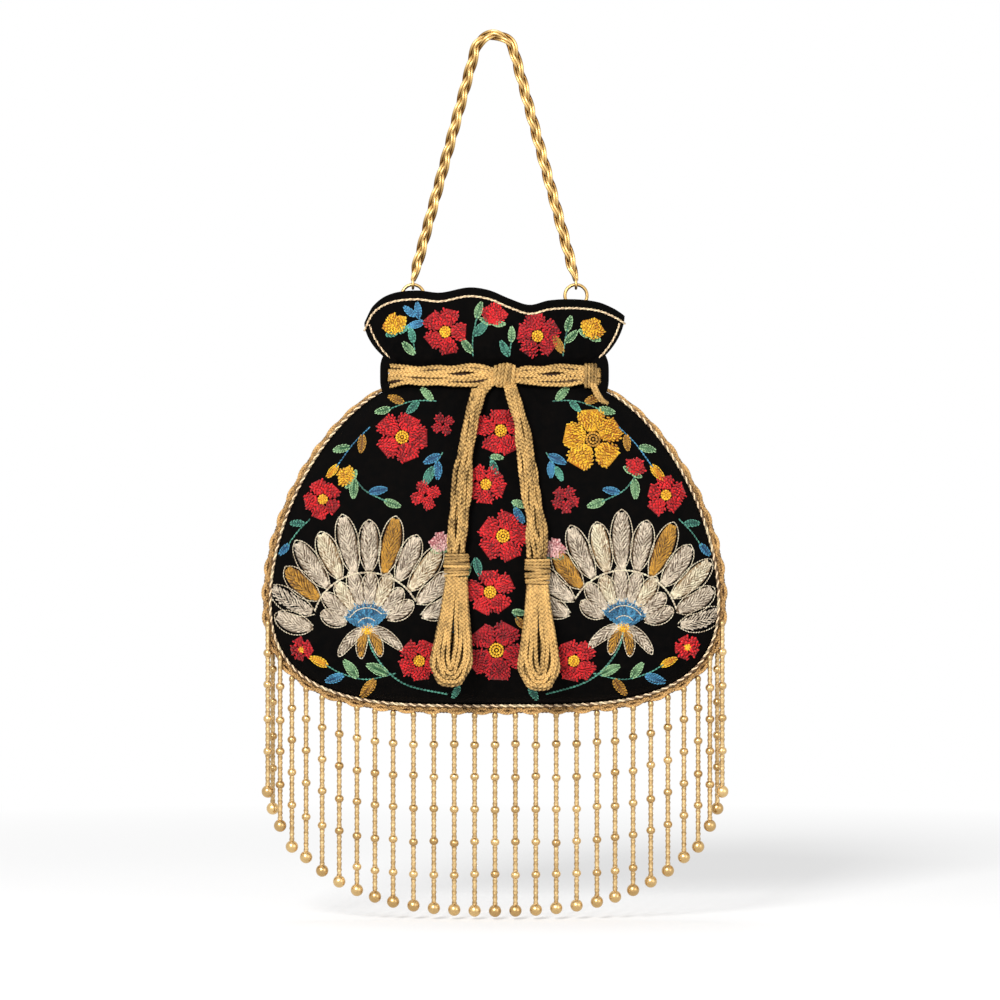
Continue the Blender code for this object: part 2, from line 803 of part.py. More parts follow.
def handle_line():
    """Middle line of the chain, from the left eye over the apex to the right eye."""
    apex_z = CHAIN_RADIUS - CHAIN_GROOVE / 4.0
    centre_z = apex_z - APEX_RADIUS
    foot = Vector((RING_X, 0.0, RING_TOP_Z + eye_radius()))
    to_foot = Vector((foot.x, 0.0, foot.z - centre_z))
    reach = to_foot.length
    swing = math.acos(APEX_RADIUS / reach)
    foot_angle = math.atan2(to_foot.x, to_foot.z)
    tangent_angle = foot_angle - swing
    right = []
    arc_steps = 24
    for k in range(arc_steps + 1):
        angle = tangent_angle * k / arc_steps
        x = APEX_RADIUS * math.sin(angle)
        right.append(Vector((x, 0.0, centre_z + APEX_RADIUS * math.cos(angle))))
    right.append(foot)
    left = [Vector((-p.x, 0.0, p.z)) for p in reversed(right[1:])]
    return left + right


def eye_radius():
    """Radius of the middle line of the eye's wire."""
    return (EYE_HOLE + EYE_WIRE) / 2.0


def chain_rings():
    """Rings of a three-strand rope form that tapers into an eye at each end."""
    line = handle_line()
    lobes = round(path_length(line) / CHAIN_LOBE_LENGTH)
    steps = 3 * lobes + 1
    points = evenly(line, steps)
    rings = []
    for k, point in enumerate(points):
        along = points[min(k + 1, steps - 1)] - points[max(k - 1, 0)]
        across = Vector((along.z, 0.0, -along.x)).normalized()
        depthwise = Vector((0.0, 1.0, 0.0))
        from_end = min(k, steps - 1 - k)
        full = min(1.0, from_end / 2.0)
        twist = 2.0 * math.pi * k / 9.0
        ring = []
        for j in range(ROUND_SIDES):
            strand = CHAIN_RADIUS - (CHAIN_GROOVE if j % 2 else 0.0)
            radius = CHAIN_TIP_RADIUS + (strand - CHAIN_TIP_RADIUS) * full
            angle = 2.0 * math.pi * j / ROUND_SIDES + twist
            ring.append(point + across * radius * math.cos(angle)
                        + depthwise * radius * math.sin(angle))
        rings.append(ring)
    return rings


def torus_rings(centre, radius, wire, turns, sides, plane):
    """Rings of a torus; plane "XZ" faces the front and plane "YZ" faces the side."""
    rings = []
    for k in range(turns):
        angle = 2.0 * math.pi * k / turns
        if plane == "XZ":
            outward = Vector((math.cos(angle), 0.0, math.sin(angle)))
            sideways = Vector((0.0, 1.0, 0.0))
        else:
            outward = Vector((0.0, math.cos(angle), math.sin(angle)))
            sideways = Vector((1.0, 0.0, 0.0))
        ring = []
        for j in range(sides):
            turn = 2.0 * math.pi * j / sides
            ring.append(centre + outward * (radius + wire / 2.0 * math.cos(turn))
                        + sideways * wire / 2.0 * math.sin(turn))
        rings.append(ring)
    return rings


def make_handle(gold):
    """Chain with an eye joined on at each end."""
    handle = finish_object("handle_chain", ring_mesh("handle_chain", chain_rings()), gold, 60.0)
    for name, side in (("eye_left", -1.0), ("eye_right", 1.0)):
        centre = Vector((side * RING_X, 0.0, RING_TOP_Z))
        rings = torus_rings(centre, eye_radius(), EYE_WIRE, RING_TURNS, ROUND_SIDES, "YZ")
        eye = finish_object(name, ring_mesh(name, rings, closed=True), gold)
        eye.hide_render = True
        eye.display_type = "WIRE"
        join = handle.modifiers.new(name, "BOOLEAN")
        join.operation = "UNION"
        join.object = eye


def make_rings(gold):
    for name, side in (("ring_left", -1.0), ("ring_right", 1.0)):
        centre = Vector((side * RING_X, 0.0, RING_TOP_Z - RING_RADIUS))
        rings = torus_rings(centre, RING_RADIUS, RING_WIRE, RING_TURNS, ROUND_SIDES, "XZ")
        finish_object(name, ring_mesh(name, rings, closed=True), gold)


def tab_outline():
    """Keyhole outline of a tab in (depth, height): a round head over a flat tail."""
    head = TAB_HOLE / 2.0 + TAB_CLOTH
    tail = TAB_CLOTH + GAP / 2.0
    start = math.asin(tail / head)
    steps = 10
    outline = [(-tail, -TAB_LENGTH), (tail, -TAB_LENGTH)]
    for k in range(steps + 1):
        angle = -math.pi / 2.0 + start + (2.0 * math.pi - 2.0 * start) * k / steps
        outline.append((head * math.cos(angle), head * math.sin(angle)))
    return outline


def tab_lean(side):
    """How far a tab's tail leans out, to lie just inside the side seam of the frill."""
    start = NECK_TOP_Z + VELVET
    share = (RING_BOTTOM_Z - TAB_LENGTH - start) / (frill_edge(side) - start)
    seam = abs(frill_point(side, share, VELVET).x)
    return seam - TAB_SEAM_CLEARANCE - TAB_WIDTH / 2.0 - RING_X


def make_tabs(cloth):
    """Cloth tab round the foot of each ring, whose tail leans out to the side seam."""
    head = TAB_HOLE / 2.0 + TAB_CLOTH
    for name, side in (("ring_tab_left", -1.0), ("ring_tab_right", 1.0)):
        centre = Vector((side * RING_X, 0.0, RING_BOTTOM_Z))
        lean = tab_lean(side)
        rings = []
        for edge in (-0.5, 0.5):
            ring = []
            for y, z in tab_outline():
                fall = max(0.0, -z - head) / (TAB_LENGTH - head)
                x = edge * TAB_WIDTH + side * lean * fall
                ring.append(centre + Vector((x, y, z)))
            rings.append(ring)
        tab = finish_object(name, ring_mesh(name, rings), cloth)
        hole_rings = []
        for edge in (-1.0, 1.0):
            hole_rings.append([
                centre + Vector((edge * TAB_WIDTH, TAB_HOLE / 2.0 * math.cos(angle),
                                 TAB_HOLE / 2.0 * math.sin(angle)))
                for angle in (2.0 * math.pi * k / 10 for k in range(10))
            ])
        hole = finish_object(name + "_hole", ring_mesh(name + "_hole", hole_rings), cloth)
        hole.hide_render = True
        hole.display_type = "WIRE"
        cut = tab.modifiers.new("ring_hole", "BOOLEAN")
        cut.operation = "DIFFERENCE"
        cut.object = hole


# Fringe


def strand_profile(length):
    """(radius, drop) pairs down one strand: a pointed loop end, tube, beads and end ball."""
    tube = STRAND_DIAMETER / 2.0
    bead = BEAD_DIAMETER / 2.0
    ball = END_BALL_DIAMETER / 2.0
    profile = [(tube, STRAND_TIP)]
    place = FIRST_BEAD
    while place < length - LAST_BEAD_CLEARANCE:
        profile += [(tube, place - bead * 0.9), (bead, place), (tube, place + bead * 0.9)]
        place += BEAD_PITCH
    profile += [
        (tube, length - ball * 0.93), (ball * 0.92, length - ball * 0.38),
        (ball * 0.92, length + ball * 0.38),
    ]
    return profile


def make_strand(name, top, length, gold):
    """One bead strand, turned round its own line and hung by its top point."""
    shape = bmesh.new()
    rings = []
    for radius, drop in strand_profile(length):
        rings.append([
            shape.verts.new((
                radius * math.cos(2.0 * math.pi * k / STRAND_SIDES),
                radius * math.sin(2.0 * math.pi * k / STRAND_SIDES),
                -drop,
            ))
            for k in range(STRAND_SIDES)
        ])
    start = shape.verts.new((0.0, 0.0, 0.0))
    end = shape.verts.new((0.0, 0.0, -length - END_BALL_DIAMETER / 2.0))
    for ring, following in zip(rings, rings[1:]):
        for k in range(STRAND_SIDES):
            after = (k + 1) % STRAND_SIDES
            shape.faces.new((ring[k], ring[after], following[after], following[k]))
    for k in range(STRAND_SIDES):
        after = (k + 1) % STRAND_SIDES
        shape.faces.new((start, rings[0][after], rings[0][k]))
        shape.faces.new((end, rings[-1][k], rings[-1][after]))
    made = finish_object(name, mesh_from_bmesh(name, shape), gold, crease=50.0)
    made.location = top


def strand_places():
    """(name, top point, length) of every strand, closer together from the corners up."""
    line = offset_outline(BRAID_OFFSET)
    middle = min(range(len(line)), key=lambda k: abs(line[k].x))
    right = line[middle:]
    level = right[0].z + FRINGE_RISE * BOTTOM_HEIGHT
    reach = path_length([p for p in right if p.z <= level])
    pitch = reach / (EVEN_STRANDS + CORNER_CROWDING * (STRANDS_PER_SIDE - EVEN_STRANDS))
    places = []
    for k in range(STRANDS_PER_SIDE + 1):
        crowded = max(0, k - EVEN_STRANDS)
        along = pitch * (k - crowded + CORNER_CROWDING * crowded)
        point, down = point_along(right, along)
        share = min(1.0, k / LONG_STRANDS_TO)
        length = STRAND_LENGTH - (STRAND_LENGTH - SHORT_STRAND_LENGTH) * share**2
        outer = k > STRANDS_PER_SIDE - OUTER_STRANDS
        top = Vector(point)
        if outer:
            step = STRANDS_PER_SIDE - k
            aside = BRAID_THICKNESS / 2.0 + STRAND_DIAMETER / 2.0 + GAP
            top.y = -aside if step % 2 == 0 else aside
        else:
            top.z = point.z - (BRAID_WIDTH / 2.0) / down - GAP
        if k == 0:
            places.append(("strand_centre", top, length))
            continue
        places.append((f"strand_right_{k:02d}", top, length))
        places.append((f"strand_left_{k:02d}", Vector((-top.x, top.y, top.z)), length))
    return places


def point_along(line, distance):
    """Point at a distance along a line, and how much the line's outward side looks down."""
    walked = 0.0
    for a, b in zip(line, line[1:]):
        step = (b - a).length
        if walked + step >= distance:
            outward = Vector((b.z - a.z, 0.0, a.x - b.x)).normalized()
            return a.lerp(b, (distance - walked) / step), max(0.35, abs(outward.z))
        walked += step
    return Vector(line[-1]), 1.0


def make_fringe(gold):
    for name, top, length in strand_places():
        make_strand(name, top, length, gold)


def main():
    clear_scene()
    velvet = material("black_velvet", (0.008, 0.006, 0.006), 0.95)
    lining = material("lining_satin", (0.05, 0.035, 0.03), 0.6)
    thread = material("gold_thread", (0.62, 0.37, 0.12), 0.45, 0.35)
    braid = material("gold_braid", (0.45, 0.25, 0.09), 0.45, 0.4)
    silver = material("silver_piping", (0.55, 0.45, 0.32), 0.5, 0.2)
    metal = material("gold_metal", (0.72, 0.46, 0.17), 0.28, 1.0)
    make_panels(velvet)
    make_lining(lining)
    make_braid(braid)
    make_edge_piping(silver)
    make_frill_piping(silver)
    make_drawstring(thread)
    make_side_loops(velvet)
    make_handle(metal)
    make_rings(metal)
    make_tabs(velvet)
    make_fringe(metal)


main()
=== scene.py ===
"""Looks of the potli bag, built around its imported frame.

Metres, +Z up, front towards -Y. The origin is the inside top of the handle.
"""

import math
import random

import bpy
import numpy as np
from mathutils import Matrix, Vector
from mathutils.bvhtree import BVHTree


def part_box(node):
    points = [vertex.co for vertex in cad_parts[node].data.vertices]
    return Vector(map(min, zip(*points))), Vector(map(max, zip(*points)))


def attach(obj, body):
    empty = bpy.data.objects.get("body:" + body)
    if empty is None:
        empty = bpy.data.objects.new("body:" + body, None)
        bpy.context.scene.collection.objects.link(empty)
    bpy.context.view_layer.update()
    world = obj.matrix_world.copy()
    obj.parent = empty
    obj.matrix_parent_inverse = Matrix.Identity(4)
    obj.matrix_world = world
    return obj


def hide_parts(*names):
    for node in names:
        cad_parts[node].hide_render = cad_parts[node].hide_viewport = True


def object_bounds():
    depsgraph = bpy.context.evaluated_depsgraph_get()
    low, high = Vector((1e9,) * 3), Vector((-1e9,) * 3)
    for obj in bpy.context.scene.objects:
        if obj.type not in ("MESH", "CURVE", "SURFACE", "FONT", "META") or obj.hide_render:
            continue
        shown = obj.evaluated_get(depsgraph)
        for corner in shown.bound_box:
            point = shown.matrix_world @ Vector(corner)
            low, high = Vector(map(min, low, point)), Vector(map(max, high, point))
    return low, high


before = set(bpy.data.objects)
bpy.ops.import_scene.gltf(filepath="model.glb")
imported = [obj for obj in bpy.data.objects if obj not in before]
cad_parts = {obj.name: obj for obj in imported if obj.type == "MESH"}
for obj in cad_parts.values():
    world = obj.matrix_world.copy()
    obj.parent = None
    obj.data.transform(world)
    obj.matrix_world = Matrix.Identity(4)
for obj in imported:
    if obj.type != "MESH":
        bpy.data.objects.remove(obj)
CAD_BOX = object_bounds()

MM = 0.001
FRONT = -1.0
BACK = 1.0
ALONG_X = (1.0, 0.0, 0.0)
ALONG_Y = (0.0, 1.0, 0.0)
ALONG_Z = (0.0, 0.0, 1.0)

# Clearance and cloth
GAP = 0.0003
VELVET = 0.0014
LINING = 0.0008
LINING_INSET = 0.0030

# Levels and half sizes of the pouch
FRILL_HEIGHT = 0.0350
NECK_DROP = 0.1525
NECK_HEIGHT = 0.0109
SHOULDER_HEIGHT = 0.0996
BOTTOM_HEIGHT = 0.0494
FRILL_HALF_WIDTH = 0.0612
NECK_HALF_WIDTH = 0.0463
BELLY_HALF_WIDTH = 0.1048
FRILL_HALF_DEPTH = 0.0170
NECK_HALF_DEPTH = 0.0093
BELLY_HALF_DEPTH = 0.0245
GATHER_COUNT = 4
GATHER_DEPTH = 0.0010
GATHER_REACH = 0.0060
PLEAT_COUNT = 17
PLEAT_DEPTH = 0.0005
FRILL_WAVE_COUNT = 2.5
FRILL_WAVE_DEPTH = 0.0030
FRILL_EDGE_DIP = 0.0155
FRILL_DIP_SHARES = (
    (-1.00, 1.00), (-0.93, 0.50), (-0.80, 0.19), (-0.60, 0.09), (-0.42, 0.155),
    (-0.20, 0.00), (-0.04, 0.09), (0.12, 0.355), (0.27, 0.54), (0.42, 0.40),
    (0.62, 0.355), (0.80, 0.425), (0.92, 0.605), (1.00, 0.79),
)
OUTLINE_SIDE = 3.7
OUTLINE_BOTTOM = 2.5
SECTION_POWER = 2.0 * OUTLINE_SIDE / 3.0
SECTION_ROUNDING = 0.6
FLARE_POWER = 1.8
SHOULDER_FLARE = 0.68
DEPTH_FLARE = 0.70
FRILL_FLARE = 0.80
CORNER_SHARE = 0.937
ROW_DROOP = 2.0

# Trim
BRAID_THICKNESS = 0.0032
PIPING = 0.0014
PIPING_EDGE_DROP = 0.0036

# Drawstring
BAND_THICKNESS = 0.0047
BAND_HEIGHT = 0.0103
KNOT_X = 0.0045
KNOT_WIDTH = 0.0103
KNOT_HEIGHT = 0.0112
KNOT_SQUEEZE = 0.62
LEFT_CORD_ROUTE = (
    (-0.0072, -0.0166, -0.1643), (-0.0078, -0.0172, -0.1675), (-0.0092, -0.0186, -0.1720),
    (-0.0105, -0.0201, -0.1775), (-0.0116, -0.0214, -0.1835), (-0.0127, -0.0226, -0.1895),
    (-0.0135, -0.0237, -0.1955), (-0.0142, -0.0246, -0.2015), (-0.0149, -0.0254, -0.2075),
    (-0.0155, -0.0262, -0.2135), (-0.0161, -0.0269, -0.2195), (-0.0167, -0.0275, -0.2255),
    (-0.0172, -0.0281, -0.2315), (-0.0175, -0.0286, -0.2370), (-0.0175, -0.0287, -0.2408),
)
RIGHT_CORD_ROUTE = (
    (0.0078, -0.0166, -0.1643), (0.0086, -0.0172, -0.1675), (0.0100, -0.0186, -0.1720),
    (0.0113, -0.0201, -0.1775), (0.0126, -0.0214, -0.1835), (0.0137, -0.0226, -0.1895),
    (0.0147, -0.0237, -0.1955), (0.0155, -0.0246, -0.2015), (0.0163, -0.0254, -0.2075),
    (0.0171, -0.0262, -0.2135), (0.0179, -0.0270, -0.2200), (0.0187, -0.0277, -0.2265),
    (0.0195, -0.0283, -0.2335), (0.0200, -0.0287, -0.2395), (0.0200, -0.0288, -0.2432),
)

# Chain handle
CHAIN_RADIUS = 0.0026
CHAIN_GROOVE = 0.0008
CHAIN_LOBE_LENGTH = 0.0102
APEX_RADIUS = 0.0093
EYE_MIDDLE_RADIUS = 0.0018
RING_WIRE = 0.0016
WIRE_RADIUS = 0.66 * MM
WIRE_SIDES = 8
CHAIN_STEP = 0.0008
CHAIN_SWING_ASIDE = 1.38 * MM
CHAIN_SWING_DEPTH = 1.10 * MM
CHAIN_TAPER_LENGTH = 7.0 * MM
APEX_STEPS = 24
EYE_STEPS = 28
RING_STEPS = 56
RING_SIDES = 12

NECK_TOP_Z = -NECK_DROP
NECK_LOW_Z = NECK_TOP_Z - NECK_HEIGHT
NECK_MIDDLE_Z = NECK_TOP_Z - NECK_HEIGHT / 2.0
FRILL_TOP_Z = NECK_TOP_Z + FRILL_HEIGHT
WIDEST_Z = NECK_LOW_Z - SHOULDER_HEIGHT
BAND_OFFSET = GAP + BAND_THICKNESS / 2.0

# The photograph's frame: where its middle falls on the bag, and how much it shows
VIEW_MIDDLE = (0.0026, -0.2162)
VIEW_WIDTH = 0.470
VIEW_DISTANCE = 2.2
SENSOR = 36.0

# Ground: share of plain white in what is seen of it, near the bag and far from it, and the
# distances between which that share grows
FLOOR_WHITE = (0.35, 1.0)
FLOOR_WHITE_SPAN = (0.42, 0.85)
FLOOR_GREY = (0.98, 0.98, 0.98, 1.0)
FLOOR_DROP = 0.0012
FLOOR_SIZE = 12.0

# Strength of the world for the rays that light the bag
WORLD_STRENGTH = 0.42

# Lamps: name, place, size, power
LAMPS = (
    ("key", (-0.62, -1.9, 0.70), 0.6, 50.0),
    ("fill", (1.5, -1.4, 0.1), 1.2, 9.0),
    ("top", (-0.2, 0.3, 1.6), 1.0, 8.0),
)
LAMP_TARGET = (0.0, 0.0, -0.25)


# Materials


def linear(red, green, blue):
    """A colour written as 0 to 255 screen values, in linear light."""
    values = []
    for value in (red, green, blue):
        share = value / 255.0
        values.append(share / 12.92 if share <= 0.04045 else ((share + 0.055) / 1.055) ** 2.4)
    return (*values, 1.0)


class Nodes:
    """Short words for building one material's node tree."""

    def __init__(self, name):
        self.material = bpy.data.materials.new(name)
        self.material.use_nodes = True
        self.tree = self.material.node_tree
        self.shader = self.tree.nodes["Principled BSDF"]

    def add(self, kind, **values):
        node = self.tree.nodes.new(kind)
        for key, value in values.items():
            if key in node.inputs:
                node.inputs[key].default_value = value
            else:
                setattr(node, key, value)
        return node

    def link(self, source, target):
        self.tree.links.new(source, target)

    def set(self, **values):
        for key, value in values.items():
            self.shader.inputs[key.replace("_", " ")].default_value = value

    def noise(self, scale, detail=3.0, roughness=0.55):
        place = self.add("ShaderNodeTexCoord")
        texture = self.add("ShaderNodeTexNoise", Scale=scale, Detail=detail, Roughness=roughness)
        self.link(place.outputs["Object"], texture.inputs["Vector"])
        return texture.outputs["Fac"]

    def mix(self, factor, first, second):
        """Colour mix; first and second are colours or sockets, and factor is a socket."""
        node = self.add("ShaderNodeMix", data_type="RGBA")
        self.link(factor, node.inputs[0])
        for value, socket in ((first, node.inputs[6]), (second, node.inputs[7])):
            if isinstance(value, tuple):
                socket.default_value = value
            else:
                self.link(value, socket)
        return node.outputs[2]

    def span(self, value, low, high, to_low=0.0, to_high=1.0):
        node = self.add("ShaderNodeMapRange")
        self.link(value, node.inputs["Value"])
        node.inputs["From Min"].default_value = low
        node.inputs["From Max"].default_value = high
        node.inputs["To Min"].default_value = to_low
        node.inputs["To Max"].default_value = to_high
        return node.outputs["Result"]

    def tint(self):
        node = self.add("ShaderNodeAttribute", attribute_name="tint")
        return node.outputs["Fac"]

    def bump(self, height, strength, distance):
        node = self.add("ShaderNodeBump", Strength=strength, Distance=distance)
        self.link(height, node.inputs["Height"])
        self.link(node.outputs["Normal"], self.shader.inputs["Normal"])

    def colour(self, socket):
        self.link(socket, self.shader.inputs["Base Color"])


def velvet_material():
    """Black velvet: uneven nap, fine pile and a faint sheen."""
    made = Nodes("black_velvet")
    nap = made.noise(260.0, 4.0)
    pile = made.noise(5200.0, 2.0)
    dark = linear(2, 2, 2)
    light = linear(9, 7, 6)
    made.colour(made.mix(made.span(nap, 0.35, 0.75), dark, light))
    made.link(made.span(nap, 0.3, 0.7, 0.82, 0.98), made.shader.inputs["Roughness"])
    made.bump(pile, 0.5, 0.00025)
    made.set(Sheen_Weight=0.05, Sheen_Roughness=0.35, Specular_IOR_Level=0.04)
    made.shader.inputs["Sheen Tint"].default_value = linear(110, 92, 88)
    return made.material


def thread_material(name, dark, light, roughness=0.62, metallic=0.0, sheen=0.10,
                    grain=2600.0, gloss=0.30):
    """Stitched thread: each stitch has its own tint, and fine fibres roughen it."""
    made = Nodes(name)
    fibre = made.noise(grain, 3.0, 0.7)
    patch = made.noise(140.0, 2.0)
    stitched = made.mix(made.tint(), dark, light)
    shade = tuple(0.62 * value for value in dark[:3]) + (1.0,)
    worn = made.mix(made.span(fibre, 0.30, 0.62, 0.45, 0.0), stitched, shade)
    bright = tuple(min(1.0, 1.16 * value + 0.01) for value in light[:3]) + (1.0,)
    made.colour(made.mix(made.span(patch, 0.45, 0.8, 0.0, 0.5), worn, bright))
    made.link(made.span(fibre, 0.3, 0.7, roughness - 0.1, roughness + 0.12),
              made.shader.inputs["Roughness"])
    made.bump(fibre, 0.55, 0.00030)
    made.set(Metallic=metallic, Sheen_Weight=sheen, Sheen_Roughness=0.45, Specular_IOR_Level=gloss)
    return made.material


def metal_material(name, dark, light, roughness, spots=900.0):
    """Gold plate with light wear and small colour changes."""
    made = Nodes(name)
    wear = made.noise(spots, 4.0, 0.6)
    tone = made.noise(60.0, 2.0)
    plated = made.mix(made.tint(), dark, light)
    made.colour(made.mix(made.span(tone, 0.4, 0.75, 0.0, 0.35), plated, dark))
    made.link(made.span(wear, 0.35, 0.7, roughness, roughness + 0.16),
              made.shader.inputs["Roughness"])
    made.bump(wear, 0.22, 0.00012)
    made.set(Metallic=1.0)
    return made.material


def lining_material():
    made = Nodes("lining_satin")
    weave = made.noise(1400.0, 2.0)
    made.colour(made.mix(made.span(weave, 0.35, 0.7), linear(58, 42, 34), linear(88, 66, 52)))
    made.link(made.span(weave, 0.3, 0.7, 0.42, 0.6), made.shader.inputs["Roughness"])
    made.bump(weave, 0.3, 0.0002)
    made.set(Sheen_Weight=0.2, Sheen_Roughness=0.4)
    return made.material


THREADS = {
    "red": (linear(124, 0, 8), linear(246, 26, 34)),
    "crimson": (linear(96, 0, 12), linear(220, 16, 32)),
    "yellow": (linear(180, 104, 4), linear(254, 204, 44)),
    "ochre": (linear(96, 58, 10), linear(216, 160, 54)),
    "green": (linear(34, 78, 44), linear(170, 212, 156)),
    "teal": (linear(14, 66, 58), linear(100, 178, 152)),
    "blue": (linear(8, 56, 92), linear(84, 164, 204)),
    "silver": (linear(104, 84, 62), linear(236, 220, 196)),
    "cream": (linear(140, 110, 72), linear(250, 236, 206)),
    "pink": (linear(176, 96, 98), linear(246, 204, 198)),
}

VELVET_LOOK = velvet_material()
LINING_LOOK = lining_material()
THREAD_LOOKS = {name: thread_material("thread_" + name, *pair) for name, pair in THREADS.items()}
GOLD_THREAD = thread_material(
    "gold_thread", linear(42, 22, 6), linear(232, 188, 116), 0.50, 0.10, 0.0, 3600.0, 0.20)
GOLD_BRAID = thread_material(
    "gold_braid", linear(58, 30, 18), linear(228, 182, 116), 0.50, 0.15, 0.0, 3600.0, 0.20)
SILVER_PIPING = thread_material(
    "silver_piping", linear(60, 32, 18), linear(255, 224, 182), 0.52, 0.0, 0.0, 3600.0, 0.12)
CHAIN_GOLD = metal_material("chain_gold", linear(98, 62, 22), linear(228, 192, 126), 0.32)
PURL_GOLD = metal_material("purl_gold", linear(146, 110, 60), linear(232, 204, 152), 0.36)
BEAD_GOLD = metal_material("bead_gold", linear(158, 120, 66), linear(226, 194, 138), 0.24)


# Meshes gathered from many small shapes


def circle(count):
    """Even angles round a full turn."""
    return 2.0 * np.pi * np.arange(count) / count


def unit(vectors):
    return vectors / np.maximum(np.linalg.norm(vectors, axis=-1, keepdims=True), 1e-12)


def path_frames(path, closed=False, reference=ALONG_Y):
    """Tangent, sideways and upward directions along a path."""
    if closed:
        ahead = np.roll(path, -1, 0) - np.roll(path, 1, 0)
    else:
        ahead = np.gradient(path, axis=0)
    tangent = unit(ahead)
    sideways = unit(np.cross(tangent, np.asarray(reference, float)))
    return tangent, sideways, np.cross(sideways, tangent)


def path_lengths(path, closed=False):
    following = np.roll(path, -1, 0) if closed else path[1:]
    steps = np.linalg.norm(following[: len(path) if closed else None] - path[: len(following)],
                           axis=1)
    return np.concatenate([[0.0], np.cumsum(steps)])


def resample(path, step, closed=False):
    """The path with points at even steps of about the given length."""
    whole = np.vstack([path, path[:1]]) if closed else path
    lengths = path_lengths(whole)
    count = max(3, int(round(lengths[-1] / step)) + (0 if closed else 1))
    wanted = np.linspace(0.0, lengths[-1], count, endpoint=not closed)
    return np.stack([np.interp(wanted, lengths, whole[:, k]) for k in range(3)], axis=1)


def smooth_path(points, steps=10):
    """Smooth curve through a few points."""
    given = np.asarray(points, float)
    ends = np.vstack([2 * given[0] - given[1], given, 2 * given[-1] - given[-2]])
    rows = []
    for a, b, c, d in zip(ends, ends[1:], ends[2:], ends[3:]):
        for step in range(steps):
            t = step / steps
            rows.append(0.5 * (2 * b + (c - a) * t + (2 * a - 5 * b + 4 * c - d) * t**2
                               + (3 * b - 3 * c + d - a) * t**3))
    rows.append(given[-1])
    return np.array(rows)


def ring_quads(rows, sides, looped=False):
    """Quads between rings of points, one ring after the other."""
    row = np.arange(rows if looped else rows - 1)[:, None] * sides
    below = (row + sides) % (rows * sides)
    side = np.arange(sides)[None, :]
    after = (side + 1) % sides
    return np.stack([row + side, row + after, below + after, below + side],
                    axis=-1).reshape(-1, 4)


class Shape:
    """One mesh made of many closed shapes, each with its own tint from 0 to 1."""

    def __init__(self):
        self.points = []
        self.quads = []
        self.triangles = []
        self.tints = []
        self.count = 0

    def add(self, points, quads=None, triangles=None, tint=0.5):
        points = np.asarray(points, float)
        self.points.append(points)
        if quads is not None and len(quads):
            self.quads.append(np.asarray(quads, int) + self.count)
        if triangles is not None and len(triangles):
            self.triangles.append(np.asarray(triangles, int) + self.count)
        self.tints.append(np.broadcast_to(np.asarray(tint, np.float32), len(points)))
        self.count += len(points)

    def tube(self, path, radius, sides=6, closed=False, tint=0.5, reference=ALONG_Y):
        """Round tube along a path; radius is a number, one per point, or one per point and side.

        tint is a number or one per point.
        """
        count = len(path)
        _, sideways, upward = path_frames(path, closed, reference)
        angles = circle(sides)
        radii = np.asarray(radius, float)
        if radii.ndim < 2:
            radii = np.broadcast_to(radii.reshape(-1, 1), (count, sides))
        rings = (path[:, None, :]
                 + sideways[:, None, :] * (radii * np.cos(angles))[:, :, None]
                 + upward[:, None, :] * (radii * np.sin(angles))[:, :, None])
        self.skin(rings, None if closed else (path[0], path[-1]), tint)

    def skin(self, rings, ends, tint=0.5):
        """Closed skin over a row of rings, each an array of points of equal count.

        ends holds the middle points of its two caps, or is None where the row is a loop.
        """
        count, sides = rings.shape[:2]
        tints = np.repeat(np.broadcast_to(np.asarray(tint, float), count), sides)
        points = rings.reshape(-1, 3)
        quads = ring_quads(count, sides, ends is None)
        if ends is None:
            self.add(points, quads, None, tints)
            return
        side = np.arange(sides)
        after = (side + 1) % sides
        base = (count - 1) * sides
        top = np.stack([np.full(sides, count * sides), after, side], axis=-1)
        low = np.stack([np.full(sides, count * sides + 1), base + side, base + after], axis=-1)
        self.add(np.vstack([points, *ends]), quads, np.vstack([top, low]),
                 np.concatenate([tints, tints[:1], tints[-1:]]))

    def ball(self, centre, radius, around=14, down=9, tint=0.5, squash=1.0):
        angles = np.pi * np.arange(1, down) / down
        turns = circle(around)
        ring = np.stack([np.cos(turns), np.sin(turns)], axis=-1)
        rows = [np.column_stack([ring * math.sin(a), np.full(around, squash * math.cos(a))])
                for a in angles]
        points = np.vstack(rows + [[[0.0, 0.0, squash]], [[0.0, 0.0, -squash]]]) * radius
        points = points + np.asarray(centre, float)
        rows_count = down - 1
        k = np.arange(around)
        after = (k + 1) % around
        quads = [np.stack([r * around + k, (r + 1) * around + k, (r + 1) * around + after,
                           r * around + after], axis=-1) for r in range(rows_count - 1)]
        top, low = rows_count * around, rows_count * around + 1
        last = (rows_count - 1) * around
        caps = np.vstack([
            np.stack([np.full(around, top), k, after], axis=-1),
            np.stack([np.full(around, low), last + after, last + k], axis=-1),
        ])
        self.add(points, np.vstack(quads), caps, tint)

    def make(self, name, look, body, slot=None, replaces=()):
        """The finished object, riding on its body."""
        faces = []
        for part in self.quads + self.triangles:
            faces.extend(part.tolist())
        mesh = bpy.data.meshes.new(name)
        mesh.from_pydata(np.vstack(self.points).tolist(), [], faces)
        mesh.attributes.new("tint", "FLOAT", "POINT").data.foreach_set(
            "value", np.concatenate(self.tints))
        mesh.materials.append(look)
        mesh.shade_smooth()
        mesh.update()
        made = bpy.data.objects.new(name, mesh)
        bpy.context.scene.collection.objects.link(made)
        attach(made, body)
        if replaces:
            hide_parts(*replaces)
        return made


PLAIT_STEP = 0.72 * MM
UNEVEN_LENGTH = 2.4 * MM


